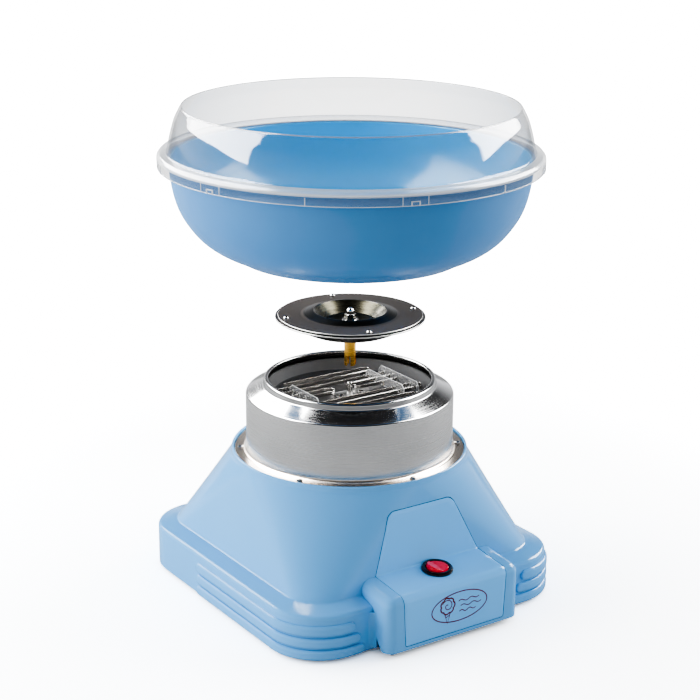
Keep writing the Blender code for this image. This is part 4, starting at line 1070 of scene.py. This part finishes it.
def heater():
    heater_basin()
    for side in ("front", "center", "rear"):
        refined(f"heating_ribbon_{side}", NICHROME, "base", 0.16)
    for side in ("left", "middle", "right"):
        plate = refined(f"mica_{side}", MICA, "base", 0.12)
        # the plates' edges are painted white as a highlight
        paint_by(plate, (MICA, WHITE_PART_AND_MICA_EDGE_HIGHLIGHT), lambda center, normal: 0 if abs(normal.x) > 0.9 else 1)
    refined("bearing_plate", SATIN, "base", 0.2)
    for k in (1, 2):
        screw(f"plate_screw_{k}", 2.0, 1.2)
    refined("motor_shaft", CHROME, "motor_rotor", 0.3)
    refined("drive_pin", CHROME, "motor_rotor", 0.25)


# ---- spinner head

SLOT_ANGLE = math.radians(-137.7)
SLOT_SIDE = [(-1.45, 174.0), (1.45, 174.0), (1.45, 185.0, 1.3), (-1.45, 185.0, 1.3)]
RIVET_TOP, RIVET_FACE, RIVET_BOTTOM = 219.45, 218.5, 213.9
CRATER_RADIUS, LIP_RADIUS, SLOPE_RADIUS, EDGE_RADIUS = 27.3, 28.9, 36.5, 55.25


def disc_finish(center, normal):
    """Coated face, glossy slope, bare edge, crater, or the crater's lip with its painted
    highlight.
    """
    radius = math.hypot(center.x, center.y)
    if radius > EDGE_RADIUS:
        return 2
    if radius < CRATER_RADIUS:
        return 3
    # the upward faces of the crater's lip take the painted highlight
    if radius < LIP_RADIUS and normal.z > 0.0:
        return 4
    return 1 if radius < SLOPE_RADIUS else 0


def head_disc():
    obj = turned("spinner_disc", [
        (2.7, 212.6), (19.5, 212.6, 6.0), (26.6, 219.6, 1.2), (28.0, 220.8, 0.9),
        (30.6, 220.2, 1.5), (37.5, 217.85, 9.0), (55.6, 217.85, 0.3), (55.6, 216.95, 0.3),
        (37.2, 216.95, 9.0), (30.4, 219.3, 1.0), (28.5, 219.7, 0.8), (26.9, 218.9, 1.0),
        (17.5, 211.8, 6.0), (2.7, 211.8),
    ], DARK_COAT, "spinner_head", "head_disc")
    paint_by(obj, (DARK_COAT, GLOSS_COAT, RIM_SILVER, CRATER_COAT, CRATER_LIP_HIGHLIGHT), disc_finish)


def head_pan():
    obj = turned("spinner_pan", [
        (57.7, 216.4, 0.3), (57.7, 215.4, 0.3), (47.8, 215.2, 2.0), (38.0, 206.8, 3.0),
        (33.0, 204.6, 2.0), (2.7, 204.6), (2.7, 205.6), (32.6, 205.6, 1.4), (37.3, 207.6, 2.2),
        (47.2, 216.3, 2.0),
    ], DULL_ALUMINIUM, "spinner_head", "head_pan")
    paint_by(obj, (DULL_ALUMINIUM, RIM_SILVER),
             lambda center, normal: int(math.hypot(center.x, center.y) > 54.5))


def rivets():
    for k in range(1, 5):
        place = center_of(f"rivet_{k}")
        obj = turned(f"rivet_{k}_round", [
            (0.0, RIVET_TOP), (1.0, RIVET_TOP, 0.8), (2.2, RIVET_FACE, 0.5), (2.2, 218.05),
            (1.15, 218.05), (1.15, 214.95), (1.9, 214.95), (1.7, RIVET_BOTTOM, 0.3),
            (0.0, RIVET_BOTTOM),
        ], CHROME, "spinner_head", f"rivet_{k}", 36, place)
        bore(obj, [(1.15, RIVET_FACE), (1.25, 220.0), (0.0, 220.0), (0.0, RIVET_FACE)], 24, place)
        hole = Vector(place)
        # the bored recess is painted black: painted shade in the hollow
        paint_by(obj, (CHROME, BLACK), lambda center, normal, hole=hole: int(
            (center.to_2d() - hole).length < 1.2 and center.z > RIVET_FACE - 0.1
            and normal.z > -0.5))


def acorn_nut():
    """Chamfered hexagon under a polished dome."""
    flat = 4.6 * math.cos(math.pi / 6.0)
    low, shoulder, dome_z, dome, hollow = 213.8, 217.6, 219.4, 3.2, 217.2

    def hexagon(limit):
        return lambda angle: min(limit, flat / math.cos(
            (angle + math.pi / 6.0) % (math.pi / 3.0) - math.pi / 6.0))
    profile = [(2.7, low), (hexagon(4.3), low), (hexagon(4.6), low + 0.3),
               (hexagon(4.6), shoulder - 0.35), (hexagon(4.2), shoulder), (3.35, shoulder + 0.05),
               (dome, shoulder + 0.4), (dome, dome_z)]
    profile += [(dome * math.cos(math.radians(a)), dome_z + dome * math.sin(math.radians(a)))
                for a in range(8, 88, 8)]
    bm = bmesh.new()
    add_lathe(bm, profile + [(0.0, dome_z + dome), (0.0, hollow), (2.7, hollow)], 96)
    finish_piece(bm, "acorn_nut", CHROME, "spinner_head", ("cap_nut",),
                 math.radians(25.0))


def drive_sleeve():
    obj = turned("brass_sleeve", [
        (2.35, 176.5), (4.5, 176.5, 0.35), (4.5, 204.3), (2.4, 204.3), (2.4, 216.6, 0.4),
        (0.0, 216.6), (0.0, 200.0), (2.35, 200.0),
    ], BRASS, "spinner_head", "drive_sleeve", 72)
    for turn in (0.0, QUARTER):
        cut_prism(obj, rounded(SLOT_SIDE), -6.0, 6.0, 'Y',
                  Matrix.Rotation(SLOT_ANGLE + turn, 4, 'Z'))


# ---- bowl and shield

ROUND_SEGMENTS = 240
NOTCH_PHASE = math.radians(-16.6)   # from the front
NOTCHES = 12
SKIRT_RADIUS, SKIRT_BOTTOM = 144.4, 334.4
SKIRT_MM = 1.0 / SKIRT_RADIUS       # angle of one millimetre round the skirt


def catch_bowl():
    outer = curve_through([(86.6, 265.9), (93.5, 269.6), (103.0, 274.2), (111.0, 279.5),
                           (118.0, 286.2), (125.5, 296.5), (130.6, 307.2), (134.0, 320.8),
                           (136.0, 337.5)], 5)
    inner = curve_through([(133.5, 338.0), (131.6, 320.8), (128.2, 307.8), (123.2, 298.0),
                           (116.0, 288.3), (109.4, 281.8), (101.7, 276.9), (90.0, 270.4)], 5)
    obj = turned("bowl_shell", [
        (83.2, 265.8), *outer, (136.0, 338.7), (141.2, 338.8), (141.2, 341.0, 0.8),
        (133.5, 341.0, 0.9), *inner, (85.6, 270.1), (85.6, 273.6, 0.8), (83.2, 273.6, 0.8),
    ], BOWL_SHADED_BLUE, "bowl", "catch_bowl", ROUND_SEGMENTS, sharp=SOFT)
    # inner faces get the lighter copy: painted light inside the bowl
    paint_by(obj, (BOWL_SHADED_BLUE, BOWL_LIT_INSIDE), lambda center, normal: int(
        normal.to_2d().dot(center.to_2d()) < 0.0 and center.z > 269.9))


def shield_finish(center, normal):
    """Bead, mouth rim with its painted shade line, skirt's edge with its painted highlight, or
    clear wall.
    """
    radius = math.hypot(center.x, center.y)
    # the mouth's rim takes the painted shade line
    if center.z > 378.0:
        return 2
    # the skirt's lower edge takes the painted highlight
    if center.z < SKIRT_BOTTOM + 0.5:
        return 3
    return 1 if 339.8 < center.z < 345.6 and radius > 136.6 else 0


def splash_shield():
    """Clear wall that closes in to the mouth, frosted bead, and skirt over the bowl's rim."""
    outer = curve_through([(136.6, 346.2), (135.6, 352.0), (134.2, 358.5), (131.4, 368.0),
                           (128.8, 373.6), (126.4, 378.0)], 5)
    inner = curve_through([(124.9, 377.6), (127.4, 372.6), (129.8, 367.4), (132.7, 357.5),
                           (134.9, 348.0), (136.2, 342.6)], 5)
    obj = turned("shield_shell", [
        (144.2, SKIRT_BOTTOM, 0.4), (SKIRT_RADIUS, 341.0), (144.3, 342.6, 1.5),
        (142.4, 345.0, 2.0), (137.8, 345.3, 1.2), *outer, (125.6, 379.0, 0.5),
        (124.7, 378.4, 0.3), *inner, (136.6, 341.3), (142.0, 341.3), (142.6, SKIRT_BOTTOM, 0.4),
    ], CLEAR, "shield", "splash_shield", ROUND_SEGMENTS, sharp=SOFT)
    paint_by(obj, (CLEAR, FROSTED, RIM_EDGE_SHADE, CLIP_AND_EDGE_HIGHLIGHT), shield_finish)


def front_point(angle, radius, z):
    """Point on a ring by its angle from the front."""
    return Vector((radius * math.sin(angle), -radius * math.cos(angle), z))


def add_bar(bm, middle, half, low, high, outer=144.75):
    """Block on the skirt; middle is an angle, half is in millimetres along the skirt."""
    rings = []
    for k in range(4):
        angle = middle + half * SKIRT_MM * (2.0 * k / 3 - 1.0)
        rings.append([bm.verts.new(front_point(angle, r, z))
                      for r, z in ((144.0, low), (outer, low), (outer, high), (144.0, high))])
    add_strip(bm, rings)


def shield_clips():
    """Moulded marks round the skirt: small U-shaped catches between fine ribs."""
    bm = bmesh.new()
    low = SKIRT_BOTTOM + 0.2
    for k in range(NOTCHES):
        middle = NOTCH_PHASE + TURN * k / NOTCHES
        if k % 2:
            add_bar(bm, middle, 0.3, low, 340.4)
            continue
        for side in (-SKIRT_MM, SKIRT_MM):
            add_bar(bm, middle + side * 2.9, 0.35, low, 337.4)
            add_bar(bm, middle + side * 9.2, 0.15, low, 342.0, 144.55)
        add_bar(bm, middle, 3.25, 337.4, 337.95)
    finish_piece(bm, "shield_clips", CLIP_AND_EDGE_HIGHLIGHT, "shield")


# ---- small parts below

def feet():
    for k in range(1, 5):
        turned(f"foot_{k}_pad", [(0.0, 0.0), (9.4, 0.0, 0.8), (10.0, 1.6, 0.4), (10.0, 2.7),
                                 (3.5, 2.7), (3.5, 6.0), (0.0, 6.0)],
               RUBBER, "base", f"foot_{k}", 48, center_of(f"foot_{k}"))


def finish_cad_nodes():
    """Better materials for the frame's solids that stay in view."""
    by_node = {
        "base_plate": BLACK, "cord_bush": BLACK, "heat_shield": DULL_ALUMINIUM,
        "motor_strap": SATIN, "motor_mount_1": RUBBER, "motor_mount_2": RUBBER,
        "motor_housing": SATIN, "motor_stator": SATIN, "motor_armature": COPPER,
        "cooling_fan": BLACK, "thermal_cutout": BLACK, "terminal_block": WHITE_PART_AND_MICA_EDGE_HIGHLIGHT,
        "head_spacer": CHROME, "head_washer": CHROME,
    }
    for node, mat in by_node.items():
        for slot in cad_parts[node].material_slots:
            slot.material = mat


# ---- scene

def add_lights():
    for name, panel in FILL_BOXES.items():
        add_softbox(name, *panel, glossy=False)
    for name, panel in SHEEN_BOXES.items():
        add_softbox(name, *panel, diffuse=False)
    add_ceiling("bowl_fill")
    add_ceiling("heater_fill")


def gather(name, pieces):
    group = bpy.data.collections.new(name)
    for piece in pieces:
        group.objects.link(bpy.data.objects[piece])
    return group


def shine_only_on(light_name, pieces, shaded_by=None):
    """Let a light reach only some pieces, and be shaded only by some, as a flag does."""
    linking = bpy.data.objects[light_name].light_linking
    linking.receiver_collection = gather(f"{light_name}_receivers", pieces)
    if shaded_by:
        linking.blocker_collection = gather(f"{light_name}_blockers", shaded_by)


def aim_lights():
    """Say which pieces each light reaches."""
    heater_pieces = [f"{node}_finished" for node in (
        "bearing_plate", "motor_shaft", "mica_left", "mica_middle", "mica_right",
        "heating_ribbon_front", "heating_ribbon_center", "heating_ribbon_rear")]
    head_pieces = ["spinner_disc", "spinner_pan", "acorn_nut", "brass_sleeve"]
    head_pieces += [f"rivet_{k}_round" for k in range(1, 5)]
    round_shells = ["bowl_shell", "shield_shell", "shield_clips", "collar_shell"]
    shine_only_on("bowl_fill", ("bowl_shell", "panel_cover"))
    shine_only_on("panel_fill", ("panel_cover", "printed_mark", "switch_button"))
    shine_only_on("heater_fill", heater_pieces + ["heater_basin"], ["collar_shell"])
    for name in SHEEN_BOXES:
        if "edge" in name:
            shine_only_on(name, ("base_body", "plinth_ribs", "console_shell", "panel_cover"))
        else:
            shine_only_on(name, heater_pieces + head_pieces + round_shells)


def build():
    scene.view_settings.view_transform = 'AgX'
    scene.view_settings.look = 'AgX - High Contrast'
    scene.view_settings.exposure = EXPOSURE
    add_camera()
    add_world()
    add_floor()
    add_lights()
    base_body()
    ribs()
    console()
    front_panel()
    printed_mark()
    switch_bezel()
    switch_button()
    collar()
    for k in range(1, 7):
        screw(f"collar_screw_{k}", 2.4, 1.2)
    heater()
    head_disc()
    head_pan()
    rivets()
    acorn_nut()
    drive_sleeve()
    catch_bowl()
    splash_shield()
    shield_clips()
    feet()
    for k in range(1, 5):
        screw(f"base_screw_{k}", 3.0, 1.6, True)
    finish_cad_nodes()
    aim_lights()


build()
